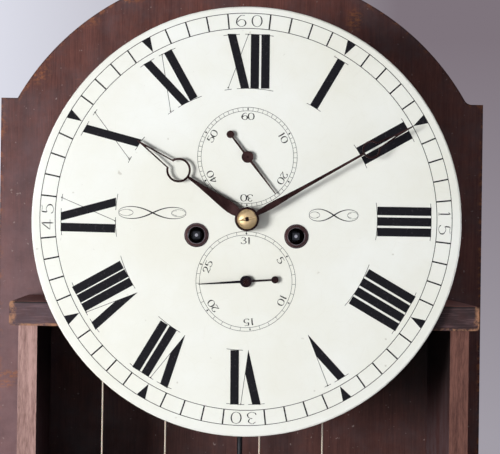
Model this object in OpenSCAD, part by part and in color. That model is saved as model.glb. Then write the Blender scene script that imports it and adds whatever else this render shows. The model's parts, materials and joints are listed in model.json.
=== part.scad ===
// Longcase clock of the round-dial kind, standing with its hood lifted off.
// Millimetres. +Z up, +X to the right as seen from the front, the dial faces -Y.
// The origin is on the floor, under the middle of the case.

/* [Case] */
// Height of the centre arbor above the floor
arbor_h = 1780; // [1700:5:1850]
// How far the hood moulding stands out from the sides of the trunk
throat_out = 34; // [30:0.5:36]
// Depth of the case at the skirting, front to back
case_d = 232; // [228:1:260]
// Thickness of the case boards
board_t = 14.5; // [13:0.5:18]
// Thickness of the backboard
back_t = 12; // [9:1:15]
// Thickness of the framed trunk front
front_t = 20; // [18:1:22]
// Height of the top of the plinth
plinth_top = 520; // [440:5:580]
// How far the plinth stands out from the trunk
plinth_out = 40; // [32:1:44]
// Height of the skirting
skirt_h = 90; // [60:5:120]
// Thickness of the skirting
skirt_t = 10; // [8:1:14]
// Height of the moulding between trunk and plinth
base_moulding_h = 42; // [30:1:60]
// How far the top of the framed trunk front lies below the centre arbor
trunk_drop = 235; // [215:5:260]
// Height of the hood moulding at the top of the trunk
throat_h = 46; // [36:1:60]
// How far the hood moulding stands out beyond the ears of the backboard
throat_over = 3.5; // [0:0.5:6]

/* [Backboard] */
// Width of each square shoulder beside the arch
shoulder_w = 13.8; // [11:0.1:18]
// Radius of the arched top
arch_r = 219.8; // [212:0.2:228]
// How far the arch centre lies below the centre arbor
arch_drop = 5.5; // [0:0.5:10]
// Height of the square shoulders above the centre arbor
shoulder_up = 102; // [90:1:110]
// Radius of the small hollow at the right end of the arch
arch_fillet_r = 7; // [4:0.5:8]

/* [Door] */
// Width of the door
door_w = 236; // [220:1:244]
// Height of the lower edge of the door
door_bottom = 640; // [610:5:680]
// Width of the rail above the door
door_rail = 105; // [80:5:140]
// Thickness of the door
door_t = 18; // [15:1:18]
// Gap round the door
door_gap = 1.2; // [0.8:0.1:2]
// Width of the bead round the door
bead_w = 5; // [4:0.5:8]
// Length of a hinge
hinge_l = 64; // [50:1:80]
// How far each hinge lies from the end of the door
hinge_in = 110; // [80:5:140]
// Radius of a hinge knuckle
knuckle_r = 2.8; // [2.4:0.1:3.4]
// Radius of a hinge pin
hinge_pin_r = 1.4; // [1:0.1:1.6]

/* [Seatboard] */
// How far the seatboard reaches past each side of the trunk
seat_over = 6.5; // [3:0.5:9]
// Radius of the worn corners of the seatboard
seat_r = 2.5; // [1:0.5:4]
// Thickness of the seatboard
seat_t = 19; // [16:1:22]
// How far the top of the seatboard lies below the centre arbor
seat_drop = 65; // [62:0.5:70]

/* [Dial] */
// Diameter of the dial
dial_d = 330; // [310:1:340]
// Thickness of the dial plate
dial_t = 2; // [1.5:0.1:2.5]
// How far the middle of the dial plate lies below the centre arbor
dial_drop = 1.7; // [0:0.1:3]
// Height of the seconds arbor above the centre arbor
seconds_up = 47.7; // [47:0.1:49]
// Distance of the date arbor below the centre arbor
date_down = 47.6; // [46:0.1:49]
// Distance of each winding hole from the middle line
wind_x = 38.3; // [38:0.1:40]
// How far the winding holes lie below the centre arbor
wind_down = 12.6; // [12:0.1:13.5]
// Bore of a winding grommet, radius
grommet_r = 6.3; // [5.8:0.1:6.6]
// Outer radius of a winding grommet
grommet_rim_r = 9.3; // [8.6:0.1:10]
// Room between the dial and the front plate
dial_gap = 28; // [28:0.5:32]

/* [Hands] */
// Length of the minute hand from its arbor
minute_l = 146.2; // [136:0.2:150]
// Length of the hour hand from its arbor
hour_l = 103.3; // [96:0.1:108]
// Radius of the rings in the minute hand
minute_ring_r = 6.9; // [6:0.1:8]
// Radius of the ring in the hour hand
hour_ring_r = 9.4; // [8:0.1:11]
// Thickness of the hands
hand_t = 1.1; // [0.9:0.1:1.4]
// Length of the seconds hand
seconds_l = 36.3; // [32:0.1:37]
// Length of the date hand
date_l = 36.8; // [32:0.1:37]
// Radius of the boss of the minute and hour hands
boss_r = 9.2; // [8.5:0.1:9.5]
// Radius of the domed cap
cap_r = 7.65; // [6.5:0.05:8]
// Time shown, hours
rest_hour = 10; // [10:1:10]
// Time shown, minutes
rest_minute = 10; // [0:1:20]
// Seconds hand, degrees clockwise from the top
rest_seconds = 142; // [0:1:359]
// Date hand, degrees clockwise from the top
rest_date = 266; // [0:1:359]

/* [Movement] */
// Thickness of the plates
plate_t = 3.5; // [3:0.1:4]
// Room between the plates
plate_gap = 60; // [60:0.5:64]
// Half width of the plates
plate_half_w = 74; // [72:0.5:80]
// Height of the plates above the centre arbor
plate_up = 92; // [90:0.5:96]
// Radius of a pillar
pillar_r = 4.5; // [4:0.1:5]
// Running clearance of pivots and pipes, radial
run = 0.05; // [0.03:0.01:0.08]
// Clearance between pieces that pass each other
pass = 0.3; // [0.3:0.05:0.5]
// Radius of a barrel drum
drum_r = 22.35; // [21:0.05:24]
// Radius of a barrel flange
flange_r = 28.5; // [28:0.1:29.5]
// Length of a barrel drum between its flanges
drum_l = 33; // [31:0.5:33]
// Half the width across a winding square
square_half = 2.7; // [2.2:0.1:3.2]
// Radius of the gut line
line_r = 0.75; // [0.6:0.05:0.9]
// Radius of the escape wheel
escape_r = 20; // [19:0.1:20.5]
// Diameter of the bell
bell_d = 104; // [96:1:108]

/* [Weights] */
// Radius of a weight
weight_r = 30; // [26:0.5:31]
// Length of a weight
weight_l = 200; // [160:5:240]
// Distance that a weight falls
fall = 1100; // [900:10:1100]
// Width of a pulley
pulley_w = 8; // [6:0.5:10]

/* [Pendulum] */
// Distance from the suspension to the middle of the bob
pendulum_l = 994; // [980:1:1010]
// Diameter of the bob
bob_d = 110; // [95:1:125]
// Thickness of the bob
bob_t = 32; // [24:1:36]
// Radius of the pendulum rod
rod_r = 2.2; // [1.8:0.1:3]

/* [Hidden] */
$fn = 48;

// Planes of the case, front to back
back_y = case_d / 2;
skirt_y = -case_d / 2;
plinth_y = skirt_y + skirt_t;
trunk_y = plinth_y + plinth_out;
board_y = back_y - back_t;
side_y = trunk_y + front_t;
seat_z = arbor_h - seat_drop;
seat_under = seat_z - seat_t;
trunk_top = arbor_h - trunk_drop;
door_top = trunk_top - door_rail;
seat_y = trunk_y + 10;

// Planes of the dial and the movement
dial_y = trunk_y;
dial_back = dial_y + dial_t;
plate_y = dial_back + dial_gap;
in_y = plate_y + plate_t;
out_y = in_y + plate_gap;
rear_y = out_y + plate_t;
bob_y = rear_y + 30;

// Arbors, each as [right, up] from the centre arbor
centre = [0, 0];
going = [wind_x, -wind_down];
strike = [-wind_x, -wind_down];
escape = [0, seconds_up];
third = [8.76, 25.75];
pallet = [0, seconds_up + escape_r * sqrt(2)];
pin_wheel = [-32, 19];
gather = [-24, 39.55];
warning = [-34, 53.05];
fly_at = [-30.5, 64.53];
hammer_at = [-58, 34];
reverse = [24.25, 14];
driver = [12.47, -26.7];
date = [0, -date_down];
rack_at = [-54, -38];
hook_at = [4, 66];
lift_at = [54, 30];
// The swelling of a low pillar just clears the line that falls from the strike barrel
pillar_swell = 1.2;
pitch_r = drum_r + line_r + pass;
low_pillar = [wind_x + pitch_r - line_r - pass - pillar_r - pillar_swell, -55];
top_pillar = [54, 82];
dial_foot = [68, 60];
dial_foot_low = [68, -36];

// Tooth counts
great_n = 96;
centre_n = 60;
third_n = 56;
escape_n = 30;
strike_n = 84;
pin_n = 56;
gather_n = 49;
warning_n = 42;
cannon_n = 40;
hour_n = 72;
date_n = 31;
date_r = 15.2;
leaves8 = 8;
leaves7 = 7;
leaves6 = 6;
day_gear_n = 30;
day_wheel_n = 60;

// Tooth sizes follow from the distances between the arbors
great_m = 2 * norm(going) / (great_n + leaves8);
centre_m = 2 * norm(third) / (centre_n + leaves8);
third_m = 2 * norm(escape - third) / (third_n + leaves7);
strike_m = 2 * norm(pin_wheel - strike) / (strike_n + leaves8);
pin_m = 2 * norm(gather - pin_wheel) / (pin_n + leaves7);
gather_m = 2 * norm(warning - gather) / (gather_n + leaves7);
warning_m = 2 * norm(fly_at - warning) / (warning_n + leaves6);
cannon_m = norm(reverse) / cannon_n;
hour_m = 2 * norm(reverse) / (hour_n + leaves6);
day_m = 2 * norm(driver) / (day_gear_n + day_wheel_n);

// Planes between the plates, measured from the back of the front plate
barrel_t = 3;
drum_t = barrel_t + 1.5;
flange_t = drum_t + drum_l;
ratchet_t = flange_t + 1.5;
great_t = flange_t + 4.5;
great_w = 2.5;
centre_t = great_t + 4.5;
pinwheel_t = great_t + 8.5;
third_t = great_t + 12.5;
escape_t = 11.5;
anchor_t = 9.5;
gather_t = 22.5;
warning_t = 16.5;
fly_t = 27;
hammer_t = 33;
wheel_w = 1.6;

// Planes of the work between the dial and the front plate
cannon_y = plate_y - 4;
bridge_y = plate_y - 6.5;
hour_y = plate_y - 8.5;
snail_y = hour_y - 1.5;
day_y = plate_y - 15.2;
datewheel_y = plate_y - 18.6;
hourhand_y = dial_y - 5.2;
minutehand_y = dial_y - 11.4;
// Slope of the taper pin through the cap
cap_pin_tilt = 78;
subhand_y = dial_y - 3.4;

// Rest angles, counter-clockwise from the right as seen from the front
minute_turn = -6 * rest_minute;
hour_turn = -30 * (rest_hour + rest_minute / 60);

// A line leaves the left of its barrel; each load hangs on the outer side of its line, right or left
pulley_r = 24.25;
line_y = in_y + 26.5;
low_z = 560;
line_going_x = wind_x - pitch_r;
line_strike_x = -wind_x - pitch_r;

function ang(v) = atan2(v[1], v[0]);
function polar(r, a) = [r * cos(a), r * sin(a)];
function arc(r, a1, a2, n) = [for (i = [0:n]) polar(r, a1 + (a2 - a1) * i / n)];
function band(r1, r2, a1, a2, n) = concat(arc(r2, a1, a2, n), arc(r1, a2, a1, n));
function shift(v, pts) = [for (p = pts) p + v];

// The phase that puts a gap of wheel B on a tooth of wheel A, with B seen from A at angle th
function mesh(th, na, fa, nb) = th + 180 + 180 / nb - (fa - th) * na / nb;

// Outline of a wheel: straight flanks to the pitch circle, then rounded tips
function wheel_teeth(n, m, a0) = let (
    rp = m * n / 2,
    rr = rp - 1.35 * m,
    ra = rp + 1.05 * m,
    h = 360 / n * 0.22,
    side = [[rr, 1], [rp, 1], [rp + 0.55 * (ra - rp), 0.72], [ra, 0.2]]
) [for (i = [0:n - 1]) each concat(
    [for (s = side) polar(s[0], a0 + i * 360 / n - h * s[1])],
    [for (k = [3:-1:0]) polar(side[k][0], a0 + i * 360 / n + h * side[k][1])]
)];

// Outline of a pinion of a few thin leaves
function pinion_teeth(n, m, a0) = let (
    rp = m * n / 2,
    rr = rp - 1.45 * m,
    ra = rp + 0.5 * m,
    h = 360 / n * 0.16,
    side = [[rr, 1], [rp, 1], [ra, 0.35]]
) [for (i = [0:n - 1]) each concat(
    [for (s = side) polar(s[0], a0 + i * 360 / n - h * s[1])],
    [for (k = [2:-1:0]) polar(side[k][0], a0 + i * 360 / n + h * side[k][1])]
)];

// Outline of a ratchet: each tooth rises slowly and drops at once
function ratchet_teeth(n, r, depth, way) = [for (i = [0:n - 1]) each [
    polar(r, 360 / n * way * i),
    polar(r - depth, 360 / n * way * (i + 0.06))
]];

// One opening between two arms of a wheel
function crossing(r1, r2, w, a1, a2) = concat(
    arc(r2, a1 + asin(w / 2 / r2), a2 - asin(w / 2 / r2), 8),
    arc(r1, a2 - asin(w / 2 / r1), a1 + asin(w / 2 / r1), 4)
);

function before(loops, k) = k == 0 ? 0 : before(loops, k - 1) + len(loops[k - 1]);

// A flat shape from an outer loop and the loops of its holes
module loops(list) {
    polygon(
        [for (l = list) each l],
        [for (k = [0:len(list) - 1]) [for (i = [0:len(list[k]) - 1]) before(list, k) + i]]
    );
}

// A flat wheel with its arms
module wheel_shape(teeth, r1, r2, arms, w) {
    loops(concat([teeth], [for (k = [0:arms - 1])
        crossing(r1, r2, w, k * 360 / arms, (k + 1) * 360 / arms)]));
}

// Move to an arbor
module at(p) {
    translate([p[0], 0, arbor_h + p[1]]) children();
}

// Move across the movement from where the arbor is
module at_offset(p) {
    translate([p[0], 0, p[1]]) children();
}

// A shape drawn as seen from the front, made thick from y1 back to y2
module slab(y1, y2) {
    translate([0, y2, 0]) rotate([90, 0, 0]) linear_extrude(y2 - y1) children();
}

// A round rod that runs front to back
module rod(y1, y2, r) {
    translate([0, y2, 0]) rotate([90, 0, 0]) cylinder(h = y2 - y1, r = r);
}

// A turned piece on a front-to-back axis, profile as [radius, distance back from y]
module turned(y) {
    translate([0, y, 0]) rotate([-90, 0, 0]) rotate_extrude() children();
}

// A moulding that runs along the front and both sides of a box.
// Profile as [stand-out, height]; hw, y1 and back are the box's half width, front and back.
module moulding(profile, hw, y1, back) {
    top = max([for (p = profile) p[1]]);
    low = min([for (p = profile) p[1]]);
    out = max([for (p = profile) p[0]]);
    difference() {
        intersection() {
            translate([-hw - out, 0, 0]) rotate([90, 0, 90]) linear_extrude(2 * (hw + out))
                polygon(concat([for (p = profile) [y1 - p[0], p[1]]], [[back, top], [back, low]]));
            translate([0, back, 0]) rotate([90, 0, 0]) linear_extrude(back - y1 + out)
                polygon(concat(
                    [for (p = profile) [-hw - p[0], p[1]]],
                    [for (k = [len(profile) - 1:-1:0]) [hw + profile[k][0], profile[k][1]]]
                ));
        }
        translate([-hw, y1, low - 1])
            cube([2 * hw, back - y1 + 1, top - low + 2]);
    }
}

// Case
arch_z = arbor_h - arch_drop;
shoulder_z = arbor_h + shoulder_up;
arch_half = asin((shoulder_z - arch_z) / arch_r);
arch_x = arch_r * cos(arch_half);
ear_half_w = arch_x + shoulder_w;
ear_z = trunk_top;
trunk_hw = ear_half_w + throat_over - throat_out;
plinth_hw = trunk_hw + plinth_out;

module backboard() {
    // The small hollow touches the arch from outside and the shoulder from above
    fx = sqrt(pow(arch_r + arch_fillet_r, 2) - pow(shoulder_z + arch_fillet_r - arch_z, 2));
    fa = atan2(arch_z - shoulder_z - arch_fillet_r, -fx);
    color([0.36, 0.22, 0.2]) difference() {
        slab(board_y, back_y) polygon(concat(
            [[-plinth_hw + board_t, 20], [-plinth_hw + board_t, plinth_top], [-trunk_hw, plinth_top]],
            [[-trunk_hw, ear_z - 30], [-ear_half_w, ear_z], [-ear_half_w, shoulder_z]],
            shift([0, arch_z], arc(arch_r, 180 - arch_half, ang([fx, shoulder_z + arch_fillet_r - arch_z]), 72)),
            shift([fx, shoulder_z + arch_fillet_r], arc(arch_fillet_r, fa + 360, 270, 6)),
            [[ear_half_w, shoulder_z], [ear_half_w, ear_z], [trunk_hw, ear_z - 30]],
            [[trunk_hw, plinth_top], [plinth_hw - board_t, plinth_top], [plinth_hw - board_t, 20]]
        ));
    }
}

module trunk_side() {
    translate([trunk_hw - board_t, side_y, plinth_top - 60])
        cube([board_t, board_y - side_y, seat_under - plinth_top + 60]);
}

module trunk_side_left() {
    color([0.5, 0.38, 0.36]) mirror([1, 0, 0]) trunk_side();
}

module trunk_side_right() {
    color([0.42, 0.3, 0.28]) trunk_side();
}

leaf_t = 1.2;
leaf_d = 15;
hinge_zs = [door_bottom + hinge_in, door_top - hinge_in - hinge_l];
hinge_x = door_w / 2 + door_gap / 2;
hinge_y = trunk_y - knuckle_r + 0.4;

module trunk_front() {
    hw = door_w / 2 + door_gap;
    color([0.42, 0.25, 0.22]) difference() {
        translate([-trunk_hw, trunk_y, plinth_top - 40])
            cube([2 * trunk_hw, front_t, trunk_top - plinth_top + 40]);
        translate([-hw, trunk_y - 1, door_bottom - door_gap])
            cube([2 * hw, front_t + 2, door_top - door_bottom + 2 * door_gap]);
        // Recesses for the hinge leaves and their knuckles
        for (z = hinge_zs)
            translate([hw - 1, trunk_y - 1, z])
                cube([leaf_t + 1, leaf_d + 1, hinge_l]);
        for (z = hinge_zs)
            translate([hinge_x, hinge_y, z - pass])
                cylinder(h = hinge_l + 2 * pass, r = knuckle_r + pass);
    }
}

module throat_moulding() {
    z0 = trunk_top - throat_h;
    r = throat_out - 10;
    color([0.42, 0.25, 0.22]) moulding(concat(
        [[0, z0], [4, z0], [4, z0 + 5]],
        [for (i = [0:12]) [4 + r - r * cos(i * 7.5) , z0 + 5 + (throat_h - 15) * sin(i * 7.5)]],
        [[throat_out - 3, trunk_top - 10], [throat_out, trunk_top - 8], [throat_out, trunk_top], [0, trunk_top]]
    ), trunk_hw, trunk_y, board_y);
}

module trunk_base_moulding() {
    z0 = plinth_top;
    h = base_moulding_h - 8;
    w = plinth_out - 8;
    color([0.42, 0.25, 0.22]) moulding(concat(
        [[0, z0], [plinth_out, z0], [plinth_out, z0 + 6]],
        [for (i = [0:12]) [4 + w - w * sin(i * 7.5), z0 + 6 + h - h * cos(i * 7.5)]],
        [[4, z0 + base_moulding_h - 2], [0, z0 + base_moulding_h]]
    ), trunk_hw, trunk_y, back_y);
}

module plinth_box() {
    color([0.42, 0.25, 0.22]) difference() {
        translate([-plinth_hw, plinth_y, 0])
            cube([2 * plinth_hw, back_y - plinth_y, plinth_top]);
        translate([-plinth_hw + board_t, plinth_y + board_t, -1])
            cube([2 * (plinth_hw - board_t), case_d, plinth_top + 2]);
    }
}

module skirting() {
    color([0.36, 0.2, 0.18]) moulding(concat(
        [[0, 0], [skirt_t, 0], [skirt_t, skirt_h - 14]],
        [for (i = [0:8]) [skirt_t * (1 - 0.8 * sin(i * 11.25)), skirt_h - 14 + 12 * (1 - cos(i * 11.25))]],
        [[0, skirt_h]]
    ), plinth_hw, plinth_y, back_y);
}

module door() {
    lock_hw = 16;
    color([0.45, 0.27, 0.23]) difference() {
        union() {
            translate([-door_w / 2, trunk_y, door_bottom])
                cube([door_w, door_t, door_top - door_bottom]);
            // Bead round the edge of the door
            difference() {
                translate([-door_w / 2, trunk_y - 2, door_bottom])
                    cube([door_w, 3, door_top - door_bottom]);
                translate([-door_w / 2 + bead_w, trunk_y - 3, door_bottom + bead_w])
                    cube([door_w - 2 * bead_w, 5, door_top - door_bottom - 2 * bead_w]);
            }
        }
        for (z = hinge_zs)
            translate([door_w / 2 - leaf_t, trunk_y - 3, z])
                cube([leaf_t + 1, leaf_d + 3, hinge_l]);
        for (z = hinge_zs)
            translate([hinge_x, hinge_y, z - pass])
                cylinder(h = hinge_l + 2 * pass, r = knuckle_r + pass);
        // Pocket for the lock, with the keyhole in front of it
        translate([-door_w / 2 - 1, trunk_y + 9, lock_z - 30])
            cube([37, door_t, 60]);
        translate([-door_w / 2 + 18, trunk_y - 3, lock_z]) rotate([-90, 0, 0])
            cylinder(h = 20, r = 2.6);
    }
}

lock_z = (door_bottom + door_top) / 2;

// Knuckles of one hinge, those of the fixed leaf outside and that of the moving leaf between
module hinge_half(fixed) {
    n = 5;
    k_l = hinge_l / n;
    side = fixed ? door_w / 2 + door_gap : door_w / 2 - leaf_t;
    for (z = hinge_zs) difference() {
        union() {
            translate([side, hinge_y, z]) cube([leaf_t, leaf_d + trunk_y - hinge_y, hinge_l]);
            for (i = [0:n - 1]) if ((i % 2 == 0) == fixed)
                translate([hinge_x, hinge_y, z + i * k_l + pass / 2])
                    cylinder(h = k_l - pass, r = knuckle_r);
        }
        for (i = [0:n - 1]) if ((i % 2 == 0) != fixed)
            translate([hinge_x, hinge_y, z + i * k_l - pass / 2])
                cylinder(h = k_l + pass, r = knuckle_r + pass);
        if (!fixed)
            translate([hinge_x, hinge_y, z - 1]) cylinder(h = hinge_l + 2, r = hinge_pin_r + run);
    }
    if (fixed) for (z = hinge_zs)
        translate([hinge_x, hinge_y, z]) cylinder(h = hinge_l, r = hinge_pin_r);
}

module door_hinges() {
    color([0.72, 0.56, 0.3]) hinge_half(true);
}

module door_leaves() {
    color([0.72, 0.56, 0.3]) hinge_half(false);
}

module door_lock() {
    color([0.6, 0.48, 0.28]) {
        // Lock case with its flat bolt drawn back
        translate([-door_w / 2, trunk_y + 9.2, lock_z - 29.8]) cube([35.8, door_t - 9.2, 59.6]);
        translate([-door_w / 2 - 0.6, trunk_y + 12, lock_z - 8]) cube([10, 4, 16]);
        // Escutcheon with its keyhole
        difference() {
            slab(trunk_y - 0.9, trunk_y) translate([-door_w / 2 + 18, lock_z]) scale([1, 1]) polygon(
                [for (a = [0:15:345]) [9 * cos(a), 15 * sin(a)]]
            );
            translate([-door_w / 2 + 18, trunk_y - 2, lock_z]) rotate([-90, 0, 0]) cylinder(h = 4, r = 2.4);
            translate([-door_w / 2 + 17, trunk_y - 2, lock_z - 8]) cube([2, 4, 8]);
        }
    }
}

// Seatboard, on the tops of the trunk sides
slot_w = 12;
seat_hw = trunk_hw + seat_over;

// A rectangle with rounded corners, as wide on the left as on the right
module soft_rect(half, low, high, r) {
    polygon([
        for (k = [0:3], i = [0:5])
            let (a = 90 * k + 18 * i, sx = (k == 0 || k == 3) ? 1 : -1, top = k < 2)
            [sx * (half - r) + r * cos(a), (top ? high - r : low + r) + r * sin(a)]
    ]);
}

module seatboard() {
    color([0.4, 0.33, 0.34]) difference() {
        slab(seat_y, board_y - 4) soft_rect(seat_hw, seat_under, seat_z, seat_r);
        // Slots for the lines that the barrels wind
        for (x = [line_going_x, line_strike_x])
            translate([x - slot_w / 2, in_y + drum_t, seat_under - 1]) cube([slot_w, drum_l, seat_t + 2]);
        // Holes for the fixed ends of the lines
        for (x = [line_going_x + 2 * pulley_r, line_strike_x - 2 * pulley_r])
            translate([x, line_y, seat_under - 1]) cylinder(h = seat_t + 2, r = line_r + pass);
        // Notch that lets the pendulum swing
        translate([-24, bob_y - 12, seat_under - 1]) cube([48, board_y, seat_t + 2]);
        for (s = [-1, 1]) translate([s * (low_pillar[0] + hook_r), hooks_y, seat_under - 1])
            cylinder(h = seat_t + 2, r = 2.5 + run);
    }
}

hooks_y = in_y + 54;
hook_r = pillar_r + pass + 2.5;

module seatboard_hooks() {
    pz = arbor_h + low_pillar[1];
    color([0.45, 0.45, 0.47]) for (s = [-1, 1]) translate([s * low_pillar[0], hooks_y, 0]) {
        // Bent over the pillar, with the long leg down through the seatboard to its nut
        translate([0, 0, pz]) rotate([90, 0, 0]) rotate_extrude(angle = 180)
            translate([hook_r, 0]) circle(r = 2.5);
        translate([s * hook_r, 0, seat_under - 12]) cylinder(h = pz - seat_under + 12, r = 2.5);
        translate([-s * hook_r, 0, pz - 5]) cylinder(h = 5, r = 2.5);
        translate([s * hook_r, 0, seat_under - 5.5]) cylinder(h = 4.5, r = 5.5, $fn = 6);
        translate([s * hook_r, 0, seat_under - 1]) cylinder(h = 1, r = 7);
    }
}

// Dial
module dial() {
    middle = [0.5, -dial_drop];
    color([0.95, 0.95, 0.92]) difference() {
        union() {
            at(middle) turned(dial_y) polygon([
                [0, 0], [dial_d / 2 - 1.2, 0], [dial_d / 2 - 0.3, 0.4], [dial_d / 2, 1.1],
                [dial_d / 2, dial_t], [0, dial_t]
            ]);
            for (s = [-1, 1]) for (p = [dial_foot, dial_foot_low])
                at([s * p[0], p[1]]) rod(dial_back - 0.2, plate_y, 2.8);
            for (s = [-1, 1]) for (p = [dial_foot, dial_foot_low])
                at([s * p[0], p[1]]) rod(plate_y - 0.2, in_y + 3, 1.6);
        }
        at(centre) rod(dial_y - 1, dial_back + 1, 5.7);
        at(escape) rod(dial_y - 1, dial_back + 1, 2.2);
        at(date) rod(dial_y - 1, dial_back + 1, 3);
        for (p = [going, strike]) at(p) rod(dial_y - 1, dial_back + 1, grommet_r + 1.2);
    }
}

module grommets() {
    color([0.25, 0.26, 0.28]) for (p = [going, strike]) at(p) turned(dial_y - 1.3) polygon([
        [grommet_r, 0.3], [grommet_r + 0.4, 0], [grommet_rim_r - 0.8, 0.2], [grommet_rim_r, 0.8],
        [grommet_rim_r, 1.3], [grommet_r + 1.2, 1.3], [grommet_r + 1.2, 5], [grommet_r, 5]
    ]);
}

// Hands, each drawn pointing up and laid flat at its own plane
module flat() {
    for (i = [0:$children - 1]) slab(0, hand_t) children(i);
}

// Turn clockwise as seen from the front
module clockwise(a) {
    rotate([0, a, 0]) children();
}

// A ring that opens into two thin legs, which meet in a needle
module keyhole_shape(middle, r, w, half, leg, meet, tip) {
    difference() {
        union() {
            translate([0, middle]) circle(r = r);
            blade([[middle, half], [meet, 1.05], [tip - 1, 0.5], [tip, 0.05]]);
        }
        translate([0, middle]) circle(r = r - w);
        polygon([[-half + leg, middle], [half - leg, middle], [0, meet - 1.5]]);
    }
}

// A blade alike on both sides, from places along it and half its width there
module blade(stations) {
    polygon(concat(
        [for (p = stations) [-p[1], p[0]]],
        [for (i = [len(stations) - 1:-1:0]) [stations[i][1], stations[i][0]]]
    ));
}

minute_ring_at = 108.8;
hour_ring_at = 64.2;

module minute_blank() {
    neck = minute_ring_at - minute_ring_r + 0.7;
    flat() {
        circle(r = boss_r);
        blade([
            [boss_r - 1, 1.5], [boss_r + 4, 2.1], [boss_r + 10, 2.5], [boss_r + 16, 2.4], [boss_r + 26, 1.9],
            [boss_r + 40, 1.4], [boss_r + 62, 1.1], [neck, 0.85]
        ]);
        keyhole_shape(minute_ring_at, minute_ring_r, 1.3, 3.3, 0.9, minute_ring_at + 22.9, minute_l);
    }
}

module hour_blank() {
    neck = hour_ring_at - hour_ring_r + 0.9;
    flat() {
        circle(r = boss_r);
        blade([
            [boss_r - 1.5, 2.9], [boss_r + 2, 3.9], [boss_r + 6, 4.3], [boss_r + 11, 4.1], [boss_r + 16, 3.6],
            [boss_r + 25, 2.6], [boss_r + 35, 1.6], [neck, 0.9]
        ]);
        keyhole_shape(hour_ring_at, hour_ring_r, 1.6, 4.7, 1, hour_ring_at + 32.4, hour_l);
    }
}

// A small hand with a long point and a short tail that ends in a disc
module small_blank(length, tail, disc) {
    flat() {
        circle(r = 4.5);
        polygon([[-0.95, 3], [-0.35, length - 1], [0, length], [0.35, length - 1], [0.95, 3]]);
        polygon([[-0.8, -3], [-0.6, -tail], [0.6, -tail], [0.8, -3]]);
        translate([0, -tail]) circle(r = disc);
    }
}

cannon_r = 2.9;
bridge_r = 3.9;
bridge_foot = [16, -18];
pipe_r = 5.1;

module minute_hand() {
    color([0.16, 0.16, 0.2]) difference() {
        at(centre) translate([0, minutehand_y, 0]) clockwise(-minute_turn) minute_blank();
        at(centre) rod(minutehand_y - 1, minutehand_y + 3, cannon_r);
    }
}

module hour_hand() {
    color([0.16, 0.16, 0.2]) difference() {
        at(centre) translate([0, hourhand_y, 0]) clockwise(-hour_turn) hour_blank();
        at(centre) rod(hourhand_y - 1, hourhand_y + 3, pipe_r);
    }
}

module hand_cap() {
    // Domed washer over the arbor, with the tapered pin through it
    color([0.8, 0.65, 0.35]) at(centre) difference() {
        turned(minutehand_y - 4.6) polygon(concat(
            [[1.75, 0.4]],
            [for (i = [0:8]) [1.75 + (cap_r - 1.75) * sin(i * 11.25), 4.4 - 4.2 * cos(i * 11.25)]],
            [[cap_r, 4.6], [1.75, 4.6]]
        ));
        translate([0, minutehand_y - 4.2, 0]) rotate([0, cap_pin_tilt, 0]) cylinder(h = 20, r = 0.8, center = true);
    }
    color([0.6, 0.6, 0.62]) at(centre) translate([0, minutehand_y - 4.2, 0]) rotate([0, cap_pin_tilt, 0])
        cylinder(h = 12, r1 = 0.5, r2 = 0.8, center = true);
}

module seconds_hand() {
    color([0.16, 0.16, 0.2]) at(escape) difference() {
        union() {
            translate([0, subhand_y, 0]) clockwise(rest_seconds) small_blank(seconds_l, 21.7, 2.9);
            rod(subhand_y, subhand_y + 3, 2.4);
        }
        rod(subhand_y - 1, subhand_y + 4, 1);
    }
}

module date_hand() {
    color([0.16, 0.16, 0.2]) at(date) difference() {
        union() {
            translate([0, subhand_y, 0]) clockwise(rest_date) small_blank(date_l, 22.3, 2.75);
            rod(subhand_y, subhand_y + 1.6, 3.2);
        }
        rod(subhand_y - 1, subhand_y + 4, 2.3);
    }
}

// Plates and pillars
module plate_shape() {
    union() {
        polygon([
            [-plate_half_w, -seat_drop], [plate_half_w, -seat_drop], [plate_half_w, plate_up],
            [-plate_half_w, plate_up]
        ]);
    }
}

module front_plate() {
    color([0.75, 0.62, 0.36]) difference() {
        union() {
            at(centre) slab(plate_y, in_y) plate_shape();
            // Studs that the front work turns on
            at(reverse) rod(cannon_y - 7, plate_y + 0.2, 0.78);
            at(driver) rod(day_y - 4.6, plate_y + 0.2, 2);
            at(date) rod(subhand_y - 0.2, plate_y + 0.2, 1.3);
            at(rack_at) rod(plate_y - 5.6, plate_y + 0.2, 2);
            at(hook_at) rod(plate_y - 5.2, plate_y + 0.2, 1.8);
            at(lift_at) rod(plate_y - 7.6, plate_y + 0.2, 1.8);
        }
        at(centre) rod(plate_y - 1, in_y + 1, 1.6 + run);
        for (p = [going, strike]) at(p) rod(plate_y - 1, in_y + 1, 4.2 + run);
        for (p = [third, pin_wheel, warning, hammer_at]) at(p) rod(plate_y - 1, in_y + 1, 0.9 + run);
        at(fly_at) rod(plate_y - 1, in_y + 1, 0.6 + run);
        at(pallet) rod(plate_y - 1, in_y + 1, 1 + run);
        at(escape) rod(plate_y - 1, in_y + 1, 1.2 + run);
        at(gather) rod(plate_y - 1, in_y + 1, 1.1 + run);
        for (s = [-1, 1]) for (p = [low_pillar, top_pillar])
            at([s * p[0], p[1]]) rod(plate_y - 1, in_y + 1, 2.6);
        for (s = [-1, 1]) for (p = [dial_foot, dial_foot_low])
            at([s * p[0], p[1]]) rod(plate_y - 1, in_y + 1, 1.65);
    }
}

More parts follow.
